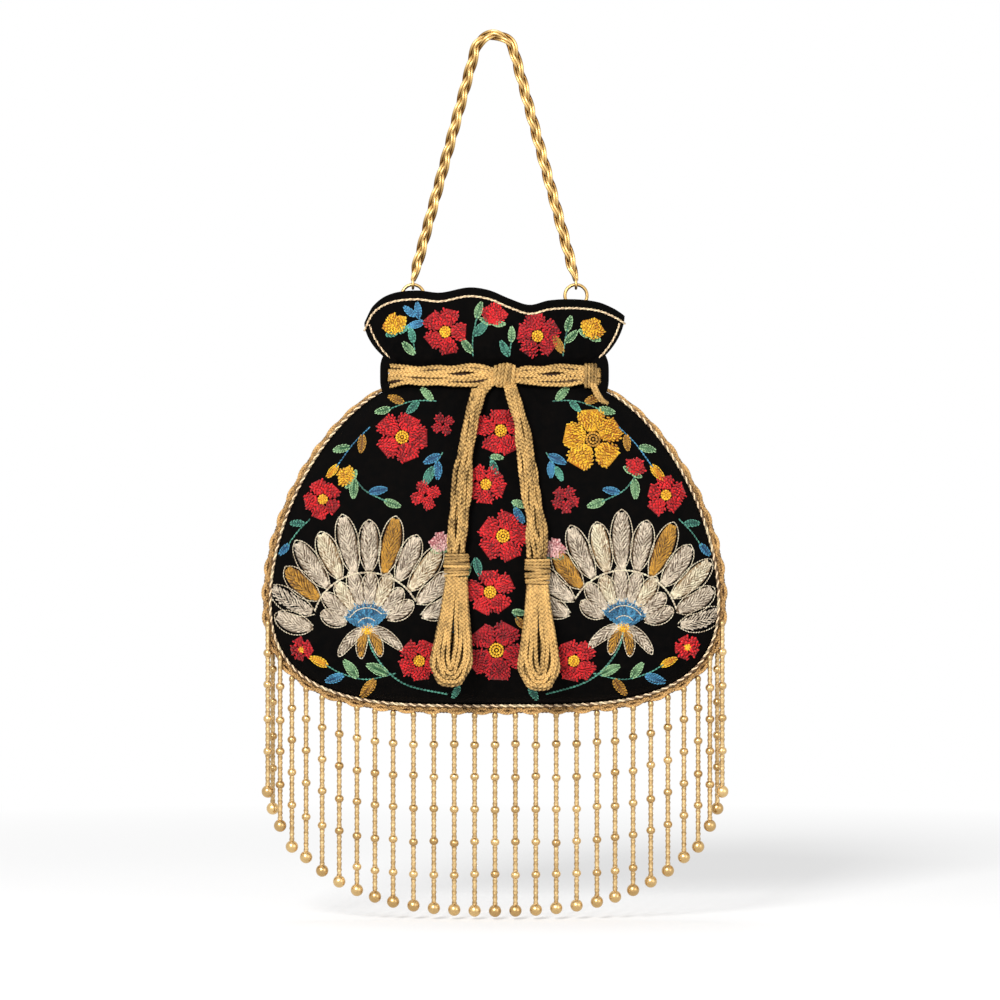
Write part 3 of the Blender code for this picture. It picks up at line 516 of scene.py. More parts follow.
def rope(shape, path, thickness, hand=1.0, phase=0.0, closed=False, pitch=2.3, sides=5,
         turn_steps=6, tint=0.5, reference=ALONG_Y, contrast=0.0):
    """Rope of two plies twisted along a path."""
    length = path_lengths(path, closed)[-1]
    turns = length / (pitch * thickness)
    if closed:
        turns = max(1, round(turns))
    line = resample(path, length / (turns * turn_steps), closed)
    _, sideways, upward = path_frames(line, closed, reference)
    radius = thickness / 4.0
    count = len(line)
    share = np.arange(count) / (count if closed else count - 1)
    for ply, darker in enumerate((-contrast, contrast)):
        angle = hand * 2.0 * np.pi * (turns * share) + phase + np.pi * ply
        moved = (line + sideways * (radius * np.cos(angle))[:, None]
                 + upward * (radius * np.sin(angle))[:, None])
        lighter = min(1.0, max(0.0, tint + darker + random.uniform(-0.18, 0.18)))
        shape.tube(moved, radius * 1.10, sides, closed, lighter, reference)


def plait(shape, path, width, phase, tint, pitch=2.6, closed=False, reference=ALONG_Y,
          upright=False):
    """Flat plait of three strands, with painted highlight where a strand lies on top and painted
    shade where it passes under.

    Its flat side lies across the path, or with upright along the upward direction.
    """
    length = path_lengths(path, closed)[-1]
    turns = max(1, round(length / (pitch * width)))
    line = resample(path, PLAIT_STEP, closed)
    count = len(line)
    share = np.arange(count) / (count if closed else count - 1)
    for strand in range(3):
        angle = 2.0 * np.pi * (turns * share + strand / 3.0) + phase
        aside = 0.29 * width * np.sin(angle)
        away = 0.18 * width * np.sin(2.0 * angle)
        uneven = [random.uniform(-0.28, 0.28) for _ in range(max(4, int(length / UNEVEN_LENGTH)))]
        drift = np.interp(share, np.linspace(0.0, 1.0, len(uneven)), uneven)
        # painted shade and highlight: each strand is darker where it dips under the others and
        # lighter where it lies on top; drift is random tone
        tone = np.clip(tint + drift - 0.46 * np.sin(2.0 * angle), 0.0, 1.0)
        placed = (-away, aside) if upright else (aside, away)
        moved = offset_path(line, *placed, closed, reference)
        shape.tube(moved, 0.225 * width, 4, closed, tone, reference)


def offset_path(path, sideways_by, upward_by, closed=False, reference=ALONG_Y):
    _, sideways, upward = path_frames(path, closed, reference)
    return (path + sideways * np.asarray(sideways_by).reshape(-1, 1)
            + upward * np.asarray(upward_by).reshape(-1, 1))


# Form of the pouch, with the same formulas as its solids


def smooth_between(points, value):
    """Read a smooth curve through (place, height) points at one place."""
    if value <= points[0][0]:
        return points[0][1]
    if value >= points[-1][0]:
        return points[-1][1]
    index = max(k for k in range(len(points) - 1) if points[k][0] <= value)
    before = points[max(index - 1, 0)]
    start = points[index]
    end = points[index + 1]
    after = points[min(index + 2, len(points) - 1)]
    span = end[0] - start[0]
    slope_in = (end[1] - before[1]) / (end[0] - before[0])
    slope_out = (after[1] - start[1]) / (after[0] - start[0])
    t = (value - start[0]) / span
    return (
        (2 * t**3 - 3 * t**2 + 1) * start[1]
        + (t**3 - 2 * t**2 + t) * span * slope_in
        + (3 * t**2 - 2 * t**3) * end[1]
        + (t**3 - t**2) * span * slope_out
    )


def flare(share, exponent):
    share = min(max(share, 0.0), 1.0)
    return (1.0 - (1.0 - share) ** FLARE_POWER) ** exponent


def section(u):
    return max(0.0, 1.0 - abs(u) ** SECTION_POWER) ** SECTION_ROUNDING


def seam_parameter(theta):
    return math.sin(theta * math.pi / 2.0)


def belly_outline(z, inset):
    neck = NECK_HALF_WIDTH - inset
    widest = BELLY_HALF_WIDTH - inset
    if z >= WIDEST_Z:
        share = (NECK_LOW_Z - inset - z) / (SHOULDER_HEIGHT - inset)
        return neck + (widest - neck) * flare(share, SHOULDER_FLARE)
    drop = min(1.0, (WIDEST_Z - z) / (BOTTOM_HEIGHT - inset))
    return widest * (1.0 - drop**OUTLINE_BOTTOM) ** (1.0 / OUTLINE_SIDE)


def bottom_level(x, inset):
    share = min(1.0, abs(x) / (BELLY_HALF_WIDTH - inset))
    rise = (1.0 - share**OUTLINE_SIDE) ** (1.0 / OUTLINE_BOTTOM)
    return WIDEST_Z - (BOTTOM_HEIGHT - inset) * rise


def gather(theta, distance):
    """Pleats that start at the drawstring and fade away from it, wide ones and narrow ones."""
    reach = distance / GATHER_REACH
    fade = reach * math.exp(1.0 - reach) * section(seam_parameter(theta))
    wide = GATHER_DEPTH * math.cos(math.pi * GATHER_COUNT * (theta + 1.0))
    narrow = PLEAT_DEPTH * math.cos(math.pi * PLEAT_COUNT * theta + 2.0 * math.sin(5.0 * theta))
    return (wide + narrow) * fade


def belly_depth(x, z, theta, inset):
    widest = BELLY_HALF_WIDTH - inset
    if z >= WIDEST_Z:
        share = (NECK_LOW_Z - inset - z) / (SHOULDER_HEIGHT - inset)
        middle = NECK_HALF_DEPTH + (BELLY_HALF_DEPTH - NECK_HALF_DEPTH) * flare(share, DEPTH_FLARE)
        across = min(1.0, abs(x) / belly_outline(z, inset))
        depth = (middle - inset) * section(across)
    else:
        drop = (WIDEST_Z - z) / (BOTTOM_HEIGHT - inset)
        filled = (min(1.0, abs(x) / widest)) ** OUTLINE_SIDE + drop**OUTLINE_BOTTOM
        across = min(1.0, filled) ** (1.0 / OUTLINE_SIDE)
        depth = (BELLY_HALF_DEPTH - inset) * section(across)
    return depth + gather(theta, NECK_LOW_Z - z) * min(1.0, depth / NECK_HALF_DEPTH)


def belly_point(theta, share, inset):
    corner_x = CORNER_SHARE * (BELLY_HALF_WIDTH - inset)
    corner_z = bottom_level(corner_x, inset)
    neck_z = NECK_LOW_Z - inset
    side_z = neck_z + (corner_z - neck_z) * share
    across = seam_parameter(theta)
    x = across * (corner_x if share >= 1.0 else belly_outline(side_z, inset))
    droop = bottom_level(across * corner_x, inset) - corner_z
    z = side_z + droop * share**ROW_DROOP
    if share >= 1.0 or abs(theta) >= 1.0:
        return (x, 0.0, z)
    return (x, -belly_depth(x, z, theta, inset), z)


def neck_point(theta, z, inset):
    across = seam_parameter(theta)
    depth = (NECK_HALF_DEPTH - inset) * section(across)
    return (across * (NECK_HALF_WIDTH - inset), -depth, z)


def frill_edge(theta):
    dip = FRILL_EDGE_DIP * smooth_between(FRILL_DIP_SHARES, seam_parameter(theta))
    return FRILL_TOP_Z - dip


def frill_point(theta, share, inset):
    across = seam_parameter(theta)
    start = NECK_TOP_Z + inset
    z = start + (frill_edge(theta) - start) * share
    spread = flare(share, FRILL_FLARE)
    half_width = NECK_HALF_WIDTH + (FRILL_HALF_WIDTH - NECK_HALF_WIDTH) * spread - inset
    middle = NECK_HALF_DEPTH + (FRILL_HALF_DEPTH - NECK_HALF_DEPTH) * spread - inset
    wave = math.cos(math.pi * FRILL_WAVE_COUNT * (theta + 1.0) + math.pi)
    lobes = FRILL_WAVE_DEPTH * wave * share**1.5 * section(across)
    pleats = gather(theta, z - start) * (1.0 - share)
    depth = middle * section(across) + lobes + pleats
    if abs(theta) >= 1.0:
        depth = 0.0
    return (across * half_width, -depth, z)


# Velvet panels and lining


PANEL_COLUMNS = 96
FRILL_ROWS = 22
NECK_ROWS = 4
BELLY_ROWS = 70
ROW_SPACING = 1.45


def panel_rows(inset):
    thetas = [-1.0 + 2.0 * k / PANEL_COLUMNS for k in range(PANEL_COLUMNS + 1)]
    rows = []
    for k in range(FRILL_ROWS, 0, -1):
        rows.append([frill_point(theta, k / FRILL_ROWS, inset) for theta in thetas])
    top = NECK_TOP_Z + inset
    low = NECK_LOW_Z - inset
    for k in range(NECK_ROWS + 1):
        z = top + (low - top) * k / NECK_ROWS
        rows.append([neck_point(theta, z, inset) for theta in thetas])
    for k in range(1, BELLY_ROWS + 1):
        share = (k / BELLY_ROWS) ** ROW_SPACING
        rows.append([belly_point(theta, share, inset) for theta in thetas])
    return np.array(rows)


def on_side(rows, side):
    """Rows of the front half moved to one side's own half of the bag."""
    moved = rows.copy()
    moved[..., 1] = side * (GAP / 2.0 - rows[..., 1])
    return moved


def grid_quads(rows, columns, offset=0):
    i = np.arange(rows - 1)[:, None] * columns
    j = np.arange(columns - 1)[None, :]
    return offset + np.stack([i + j, i + j + 1, i + j + columns + 1, i + j + columns],
                             axis=-1).reshape(-1, 4)


OUTER_ROWS = panel_rows(0.0)
INNER_ROWS = panel_rows(VELVET)


def make_panel(name, side):
    """Velvet shell with a soft rounded edge all round."""
    outer = on_side(OUTER_ROWS, side)
    inner = on_side(INNER_ROWS, side)
    rows, columns = outer.shape[:2]
    lip = (outer[0] + inner[0]) / 2.0 + np.array([0.0, 0.0, VELVET * 0.45])
    points = np.vstack([outer.reshape(-1, 3), inner.reshape(-1, 3), lip])
    start_in = rows * columns
    start_lip = 2 * start_in
    quads = [grid_quads(rows, columns), grid_quads(rows, columns, start_in)[:, ::-1]]
    j = np.arange(columns - 1)
    quads.append(np.stack([start_lip + j, start_lip + j + 1, j + 1, j], axis=-1))
    quads.append(np.stack([start_in + j, start_in + j + 1, start_lip + j + 1, start_lip + j],
                          axis=-1))
    last = (rows - 1) * columns
    quads.append(np.stack([last + j, last + j + 1, start_in + last + j + 1, start_in + last + j],
                          axis=-1))
    i = np.arange(rows - 1) * columns
    for edge, order in ((0, 1), (columns - 1, -1)):
        ring = np.stack([i + edge, i + columns + edge, start_in + i + columns + edge,
                         start_in + i + edge], axis=-1)
        quads.append(ring[:, ::order])
    faces = np.vstack(quads)
    if side > 0.0:
        faces = faces[:, ::-1]
    shape = Shape()
    shape.add(points, faces, [(0, start_in, start_lip)])
    shape.make(name, VELVET_LOOK, "bag", "velvet",
               ("front_panel" if side < 0.0 else "back_panel",))


class Cloth:
    """Outside of one panel and its stitches, which are placed as seen from the front."""

    def __init__(self, side):
        self.side = side
        self.threads = {colour: Shape() for colour in THREADS}
        rows = on_side(OUTER_ROWS, side)
        count, columns = rows.shape[:2]
        self.tree = BVHTree.FromPolygons(
            rows.reshape(-1, 3).tolist(), grid_quads(count, columns).tolist())

    def at(self, x, z):
        """Point and outward normal of the velvet, or None beside it."""
        start = Vector((x, self.side, z))
        hit, normal, _, _ = self.tree.ray_cast(start, Vector((0.0, -self.side, 0.0)))
        if hit is None:
            return None
        if normal.y * self.side < 0.0:
            normal = -normal
        return np.array(hit), np.array(normal)


LINING_COLUMNS = 48
LINING_ROWS = 34


def make_lining():
    """Smooth pocket inside the panels, open at its top."""
    shape = Shape()
    loops = []
    for inset in (LINING_INSET, LINING_INSET + LINING):
        rows = []
        for k in range(LINING_ROWS):
            share = ((2.0 + 7.0 * k / (LINING_ROWS - 1)) / 9.0) ** ROW_SPACING
            front = [belly_point(-1.0 + 2.0 * j / LINING_COLUMNS, share, inset)
                     for j in range(LINING_COLUMNS + 1)]
            back = [(p[0], -p[1], p[2]) for p in reversed(front[1:-1])]
            rows.append(front + back)
        loops.append(np.array(rows))
    count = loops[0].shape[1]
    points = np.vstack([part.reshape(-1, 3) for part in loops])
    total = LINING_ROWS * count
    j = np.arange(count)
    after = (j + 1) % count
    wall = ring_quads(LINING_ROWS, count)
    faces = [wall, (total + wall)[:, ::-1],
             np.stack([total + j, total + after, after, j], axis=-1)]
    shape.add(points, np.vstack(faces))
    shape.make("lining_pocket", LINING_LOOK, "bag", "lining", ("lining",))


# Embroidery stitches


STITCH_SIDES = 3
GROUND_STEPS = 6
KNOT_RADIUS = 0.62 * MM
KNOT_PITCH = 1.15 * MM


def stitch(cloth, colour, x, z, direction, length, width, lift, tint):
    """One small raised stitch, laid on the velvet."""
    placed = cloth.at(x, z)
    if placed is None:
        return
    point, normal = placed
    along = np.array([math.cos(direction), 0.0, math.sin(direction)])
    along = along - normal * float(along @ normal)
    along = along / np.linalg.norm(along)
    across = np.cross(normal, along)
    centre = point + normal * lift
    turns = 0.5 * np.pi + circle(STITCH_SIDES)
    rings = []
    for place, size in ((-0.22, 0.88), (0.26, 1.0)):
        middle = centre + along * length * place
        rings.append([middle + across * (width * 0.57 * size * math.cos(turn))
                      + normal * (width * 0.42 * size * math.sin(turn)) for turn in turns])
    ends = (centre - along * length / 2.0, centre + along * length / 2.0)
    cloth.threads[colour].skin(np.array(rings), ends, tint)


class Blade:
    """A petal, leaf or feather in the plane of the panel: a bent middle line with half widths."""

    def __init__(self, x, z, angle, length, width, bend=0.0, root=0.6, point=0.35):
        self.base = np.array([x, z])
        self.along = np.array([math.cos(angle), math.sin(angle)])
        self.aside = np.array([-math.sin(angle), math.cos(angle)])
        self.length = length
        self.half = width / 2.0
        self.bend = bend
        self.root = root
        self.point = point
        peak = root / (root + point)
        self.most = peak**root * (1.0 - peak) ** point

    def middle(self, u):
        curve = self.bend * self.length * u * u
        return self.base + self.along * self.length * u + self.aside * curve

    def half_width(self, u):
        u = min(max(u, 0.0), 1.0)
        return self.half * u**self.root * (1.0 - u) ** self.point / self.most

    def at(self, u, v):
        ahead = self.middle(min(u + 0.01, 1.0)) - self.middle(max(u - 0.01, 0.0))
        heading = math.atan2(ahead[1], ahead[0])
        aside = np.array([-math.sin(heading), math.cos(heading)])
        place = self.middle(u) + aside * self.half_width(u) * v
        return place, heading


def ground(cloth, colour, blade, lift):
    """Thin padded ground under the stitches of a blade, so that no velvet shows between them; it
    has the thread's darkest tint, painted shade in the gaps between stitches.
    """
    across = (-0.82, -0.45, 0.0, 0.45, 0.82)
    tops = []
    lows = []
    for k in range(GROUND_STEPS + 1):
        u = 0.05 + 0.89 * k / GROUND_STEPS
        for v in across:
            place, _ = blade.at(u, v)
            placed = cloth.at(*place)
            if placed is None:
                return
            point, normal = placed
            tops.append(point + normal * (lift * (1.0 if abs(v) < 0.6 else 0.35)))
            lows.append(point - normal * 0.0002)
    rows, columns = GROUND_STEPS + 1, len(across)
    total = rows * columns
    faces = [grid_quads(rows, columns), grid_quads(rows, columns, total)[:, ::-1]]
    border = ([k for k in range(columns)]
              + [r * columns + columns - 1 for r in range(1, rows)]
              + [(rows - 1) * columns + k for k in range(columns - 2, -1, -1)]
              + [r * columns for r in range(rows - 2, 0, -1)])
    ring = np.array(border)
    after = np.roll(ring, -1)
    faces.append(np.stack([after, ring, ring + total, after + total], axis=-1))
    # tint 0: the thread's darkest tone, painted shade between the stitches
    cloth.threads[colour].add(np.vstack([tops, lows]), np.vstack(faces), None, 0.0)


def fill(cloth, colour, blade, stitch_length=1.8 * MM, stitch_width=1.0 * MM,
         slant=0.0, notch=0.0, dome=0.35 * MM, low=0.1, high=1.0, jitter=0.40, inside=0.86):
    """Rows of stitches that follow a blade from root to tip, on a ground painted dark as the shade
    between them.
    """
    ground(cloth, colour, blade, 0.22 * MM)
    rows = max(1, int(round(2.0 * blade.half / (stitch_width * 0.98))))
    for row in range(rows):
        v = 0.0 if rows == 1 else -inside + 2.0 * inside * row / (rows - 1)
        end = 1.0 - notch * (1.0 - abs(v))
        count = max(2, int(blade.length * (0.94 * end - 0.05) / (stitch_length * 0.88)))
        for k in range(count):
            u = 0.05 + (0.94 * end - 0.05) * (k + (0.25 if row % 2 else 0.75)) / count
            room = 2.0 * blade.half_width(u) / max(rows - 1, 1)
            if room < stitch_width * 0.45 and (row + k) % 2 and rows > 2:
                continue
            place, heading = blade.at(u, v + random.uniform(-0.06, 0.06))
            turned = heading + slant * (1.0 if v > 0.0 else -1.0) + random.gauss(0.0, jitter)
            raised = 0.36 * MM + dome * (1.0 - v * v) * math.sin(math.pi * min(1.0, u + 0.1))
            raised += random.uniform(-0.12, 0.16) * MM
            tint = low + (high - low) * random.random()
            stitch(cloth, colour, *place, turned, stitch_length * random.uniform(0.85, 1.15),
                   stitch_width * random.uniform(0.85, 1.15), raised, tint)


def run(cloth, colour, points, stitch_length=2.0 * MM, stitch_width=0.9 * MM,
        lift=0.32 * MM, low=0.2, high=0.9):
    """A line of chain stitches along a smooth curve."""
    flat = np.array([(x, 0.0, z) for x, z in points])
    line = resample(smooth_path(flat), stitch_length * 0.86)
    for a, b in zip(line, line[1:]):
        heading = math.atan2(b[2] - a[2], b[0] - a[0])
        middle = (a + b) / 2.0
        stitch(cloth, colour, middle[0], middle[2], heading + random.gauss(0.0, 0.12),
               stitch_length, stitch_width, lift, random.uniform(low, high))
    return line[:, (0, 2)]


def knots(cloth, colour, x, z, radius, rings=(0.0, 0.55, 1.0)):
    """Cushion of small round knots."""
    for share in rings:
        count = max(1, int(round(2.0 * math.pi * radius * share / KNOT_PITCH)))
        for k in range(count):
            turn = 2.0 * math.pi * k / count + share
            px = x + radius * share * math.cos(turn)
            pz = z + radius * share * math.sin(turn)
            placed = cloth.at(px, pz)
            if placed is None:
                continue
            point, normal = placed
            centre = point + normal * (0.75 - 0.25 * share) * MM
            cloth.threads[colour].ball(centre, KNOT_RADIUS, 6, 4, random.uniform(0.2, 0.95))


# Embroidery motifs: places and sizes in millimetres, angles in degrees


def flower(cloth, x, z, radius, colour="red", turn=90.0, petals=5, heart="yellow"):
    """Open flower of separate round petals about a cushion of knots."""
    x, z, radius = x * MM, z * MM, radius * MM
    for k in range(petals):
        angle = math.radians(turn + 360.0 * k / petals + random.uniform(-6.0, 6.0))
        start = 0.17 * radius
        size = radius * random.uniform(0.90, 1.08)
        width = 2.0 * math.pi * radius / petals * random.uniform(0.70, 0.78)
        blade = Blade(x + start * math.cos(angle), z + start * math.sin(angle), angle,
                      size - start, width, random.uniform(-0.10, 0.10), 0.90, 0.46)
        fill(cloth, colour, blade, 1.75 * MM, 1.05 * MM, 0.15, 0.08, 0.75 * MM)
    if heart:
        knots(cloth, heart, x, z, 0.21 * radius)


def cluster(cloth, x, z, size, colour="red", turn=0.0, count=4):
    """Small blossom of round petals with no heart."""
    for k in range(count):
        angle = math.radians(turn + 360.0 * k / count)
        blade = Blade((x + 0.1 * size * math.cos(angle)) * MM,
                      (z + 0.1 * size * math.sin(angle)) * MM, angle, size * MM,
                      0.86 * size * MM, 0.0, 0.55, 0.40)
        fill(cloth, colour, blade, 1.6 * MM, 1.0 * MM, 0.2, 0.0, 0.7 * MM)


def leaf(cloth, x, z, angle, length, colour="green", width=None, bend=0.0):
    """Pointed leaf: a light cord round slanted stitches, and a dark rib down its middle where the
    ground's painted shade shows.
    """
    x, z, length = x * MM, z * MM, length * MM
    width = 0.44 * length if width is None else width * MM
    blade = Blade(x, z, math.radians(angle), length, width, bend, 0.66, 0.82)
    ground(cloth, colour, blade, 0.20 * MM)
    for side in (-1.0, 1.0):
        count = max(3, int(length / (1.15 * MM)))
        for k in range(count):
            u = 0.12 + 0.74 * k / (count - 1)
            reach = blade.half_width(u)
            place, heading = blade.at(u, 0.44 * side)
            turned = heading + side * 0.75 + random.gauss(0.0, 0.12)
            stitch(cloth, colour, *place, turned, max(1.1 * MM, 0.95 * reach),
                   0.72 * MM, 0.42 * MM, random.uniform(0.15, 0.95))
        edge = [blade.at(u, 0.90 * side)[0] for u in (0.02, 0.2, 0.4, 0.6, 0.8, 0.97)]
        run(cloth, colour, edge, 1.7 * MM, 0.62 * MM, 0.50 * MM, 0.70, 1.0)


def spray(cloth, points, leaves, stem="teal", length=9.0, spread=42.0, start=0.15,
          first=1.0):
    """Stem with leaves that come off left and right in turn; leaves lists their colours."""
    line = run(cloth, stem, [(x * MM, z * MM) for x, z in points], 1.9 * MM, 0.8 * MM)
    count = len(leaves)
    for k, colour in enumerate(leaves):
        share = start + (0.96 - start) * (k / max(count - 1, 1))
        index = min(len(line) - 2, int(share * (len(line) - 1)))
        a, b = line[index], line[index + 1]
        heading = math.degrees(math.atan2(b[1] - a[1], b[0] - a[0]))
        side = first * (1.0 if k % 2 == 0 else -1.0)
        turned = heading + (0.0 if k == count - 1 else side * spread)
        size = length * random.uniform(0.85, 1.15)
        leaf(cloth, a[0] / MM, a[1] / MM, turned, size, colour, None, -0.10 * side)


def feather(cloth, blade, colour="silver", outline="cream"):
    """Long plume in close rows, with a corded outline set off by a dark gap of bare velvet and the
    ground's painted shade.
    """
    fill(cloth, colour, blade, 2.2 * MM, 0.92 * MM, 0.35, 0.0, 0.45 * MM, 0.25, 1.0,
         0.16, 0.62)
    for v in (-1.0, 1.0):
        edge = [blade.at(u, v * 1.04)[0] for u in (0.02, 0.2, 0.4, 0.6, 0.8, 0.93, 1.0)]
        run(cloth, outline, edge, 1.5 * MM, 0.56 * MM, 0.48 * MM, 0.35, 1.0)


def fan(cloth, x, z, axis, inner, outer, count, spread, width, curl, colours):
    """Row of plumes that spread from one point, between two distances from it."""
    for k in range(count):
        share = k / (count - 1) - 0.5
        angle = math.radians(axis + spread * share)
        reach = outer * (1.0 - 0.55 * share * share) * (1.0 if k % 2 == 0 else 0.93)
        blade = Blade((x + inner * math.cos(angle)) * MM, (z + inner * math.sin(angle)) * MM,
                      angle, (reach - inner) * MM, width * MM, -curl * share, 0.80, 0.62)
        feather(cloth, blade, colours[k % len(colours)])


def arc(x, z, axis, radius, spread, count=9):
    """Points of an arc about a point, in metres."""
    turns = [math.radians(axis + spread * (k / (count - 1) - 0.5)) for k in range(count)]
    return [((x + radius * math.cos(t)) * MM, (z + radius * math.sin(t)) * MM) for t in turns]


def plume_flower(cloth, x, z, axis, size=50.0, stem=()):
    """Large pale flower: two rows of plumes over a banded blue cup with curled sepals."""
    fan(cloth, x, z, axis, 0.49 * size, 1.07 * size, 12, 166.0, 0.20 * size, 0.60,
        ("silver", "silver", "cream", "silver", "ochre"))
    fan(cloth, x, z, axis, 0.19 * size, 0.56 * size, 8, 140.0, 0.155 * size, 0.30,
        ("silver", "silver", "cream"))
    run(cloth, "cream", arc(x, z, axis, 0.51 * size, 132.0), 1.8 * MM, 1.0 * MM, 0.9 * MM,
        0.4, 1.0)
    for k in range(5):
        angle = math.radians(axis + 96.0 * (k / 4.0 - 0.5))
        blade = Blade(x * MM, z * MM, angle, 0.27 * size * MM, 0.105 * size * MM, 0.0, 0.5, 0.25)
        fill(cloth, "blue", blade, 1.9 * MM, 0.95 * MM, 0.0, 0.0, 0.6 * MM, 0.1, 1.0, 0.1)
    for radius in (0.10, 0.19):
        run(cloth, "cream", arc(x, z, axis, radius * size, 104.0, 5), 1.5 * MM, 0.6 * MM,
            1.35 * MM, 0.5, 1.0)
    for side in (-1.0, 1.0):
        for turn, reach in ((104.0, 0.34), (138.0, 0.26)):
            blade = Blade(x * MM, z * MM, math.radians(axis + side * turn), reach * size * MM,
                          0.10 * size * MM, side * 0.45, 0.45, 0.5)
            feather(cloth, blade, "ochre" if turn > 120.0 else "silver")
    knots(cloth, "yellow", x * MM, z * MM, 0.045 * size * MM)
    if stem:
        points = [(x * MM, (z - 2.0) * MM)] + [(px * MM, pz * MM) for px, pz in stem]
        run(cloth, "teal", points, 1.9 * MM, 1.1 * MM)


def bud(cloth, x, z, angle, size=9.0, colour="red", cup="green"):
    """Half-open flower seen from the side."""
    for turn, share in ((-34.0, 0.86), (34.0, 0.86), (0.0, 1.0)):
        blade = Blade(x * MM, z * MM, math.radians(angle + turn), size * share * MM,
                      0.54 * size * MM, 0.0, 0.55, 0.38)
        fill(cloth, colour, blade, 1.7 * MM, 1.0 * MM, 0.1, 0.06, 0.7 * MM)
    for turn in (-78.0, 78.0):
        leaf(cloth, x, z, angle + turn, 0.62 * size, cup)


def embroider(cloth, name):
    """The whole design of one panel, one piece for each thread colour."""
    embroider_belly(cloth)
    embroider_frill(cloth)
    for colour, shape in cloth.threads.items():
        if shape.count:
            shape.make(f"embroidery_{colour}_{name}", THREAD_LOOKS[colour], "bag")


# Flowers of the belly: x, z, radius, colour, turn
BELLY_FLOWERS = (
    (3.0, -184.0, 11.5, "red", 90.0),
    (-4.0, -209.0, 10.0, "red", 54.0),
    (4.0, -233.0, 12.5, "red", 80.0),
    (-2.0, -259.0, 11.5, "red", 100.0),
    (1.0, -286.0, 14.0, "crimson", 62.0),
    (-43.0, -187.0, 12.5, "red", 70.0),
    (46.0, -188.0, 14.5, "yellow", 95.0),
    (-35.0, -291.0, 10.5, "red", 60.0),
    (37.0, -291.0, 10.5, "red", 110.0),
    (-80.0, -216.0, 9.0, "red", 40.0),
    (80.0, -214.0, 9.5, "red", 20.0),
    (-90.0, -286.0, 5.5, "crimson", 40.0),
    (90.0, -285.0, 6.0, "red", 40.0),
)

# Sprays of both halves of the belly: points on the right half, leaf colours, stem colour,
# leaf length, leaf spread, start of the leaves, and side of the first leaf
SIDE_SPRAYS = (
    (((27, -170), (38, -170), (50, -174)), ("green", "teal", "ochre", "green"),
     "teal", 8.5, 48.0, 0.1, 1.0),
    (((58, -182), (66, -190), (74, -201)), ("ochre", "green", "yellow"),
     "blue", 9.5, 46.0, 0.2, -1.0),
    (((66, -205), (60, -212), (50, -217)), ("green", "blue", "green"),
     "teal", 9.0, 46.0, 0.15, 1.0),
    (((86, -225), (92, -231), (97, -238)), ("teal", "blue"), "teal", 7.5, 50.0, 0.2, 1.0),
    (((46, -297), (60, -300), (72, -297), (79, -293)),
     ("green", "ochre", "green", "blue", "yellow"), "teal", 10.5, 46.0, 0.1, 1.0),
    (((24, -194), (29, -202)), ("blue", "blue", "teal"), "teal", 9.0, 38.0, 0.2, 1.0),
    (((14, -297), (17, -304)), ("green", "teal"), "teal", 8.0, 44.0, 0.1, 1.0),
    (((24, -262), (21, -272)), ("green", "blue"), "teal", 8.5, 44.0, 0.1, -1.0),
)

# Small sprays between the middle flowers, and those of the frill
MIDDLE_SPRAYS = (
    (((-2, -196), (-1, -199)), ("green", "teal"), "teal", 7.5, 70.0),
    (((8, -217), (10, -221)), ("green", "blue"), "teal", 8.0, 50.0),
    (((-9, -243), (-12, -248)), ("teal", "green"), "teal", 8.5, 50.0),
    (((8, -268), (11, -272)), ("green", "ochre"), "teal", 8.0, 50.0),
)
FRILL_SPRAYS = (
    (((-37, -148), (-38, -141)), ("green", "teal"), "teal", 8.0),
    (((-10, -149), (-10, -140), (-8, -130)), ("green", "teal", "green"), "teal", 9.0),
    (((32, -149), (33, -142), (34, -136)), ("ochre", "green", "green"), "teal", 8.5),
    (((7, -149), (8, -141)), ("teal", "green"), "teal", 8.0),
    (((-33, -133), (-38, -129.5)), ("blue", "blue", "blue"), "blue", 8.0, 55.0),
)

# Buds: x, z, angle, size, colour, cup
BELLY_BUDS = (
    (-24.0, -240.0, 100.0, 9.5, "pink", "green"),
    (27.0, -243.0, 80.0, 9.5, "pink", "teal"),
    (-66.0, -207.0, 150.0, 8.5, "yellow", "green"),
    (64.0, -204.0, 60.0, 8.5, "red", "green"),
)
FRILL_BUDS = (
    (-45.0, -138.0, 110.0, 10.0, "yellow", "teal"),
    (-1.0, -134.0, 78.0, 10.5, "red", "green"),
    (44.0, -140.0, 66.0, 10.0, "yellow", "green"),
)


def embroider_belly(cloth):
    """Two large pale flowers, a column and corners of red and yellow ones, and leaf sprays."""
    plume_flower(cloth, -59.0, -276.0, 96.0, 51.0,
                 ((-57.0, -286.0), (-50.0, -296.0), (-40.0, -303.0), (-22.0, -307.0)))
    plume_flower(cloth, 60.0, -275.0, 84.0, 51.0,
                 ((58.0, -285.0), (51.0, -295.0), (41.0, -302.0), (24.0, -307.0)))
    for x, z, radius, colour, turn in BELLY_FLOWERS:
        heart = "ochre" if colour == "yellow" else "yellow"
        flower(cloth, x, z, radius, colour, turn, 5, heart)
    cluster(cloth, -32.0, -214.0, 6.5, "red", 20.0)
    cluster(cloth, 33.0, -216.0, 6.0, "crimson", 60.0, 5)
    cluster(cloth, -24.0, -181.0, 5.0, "crimson", 30.0, 4)
    for side in (-1.0, 1.0):
        for points, *rest, first in SIDE_SPRAYS:
            spray(cloth, [(side * x, z) for x, z in points], *rest, first * side)
    for values in MIDDLE_SPRAYS:
        spray(cloth, *values)
    for values in BELLY_BUDS:
        bud(cloth, *values)


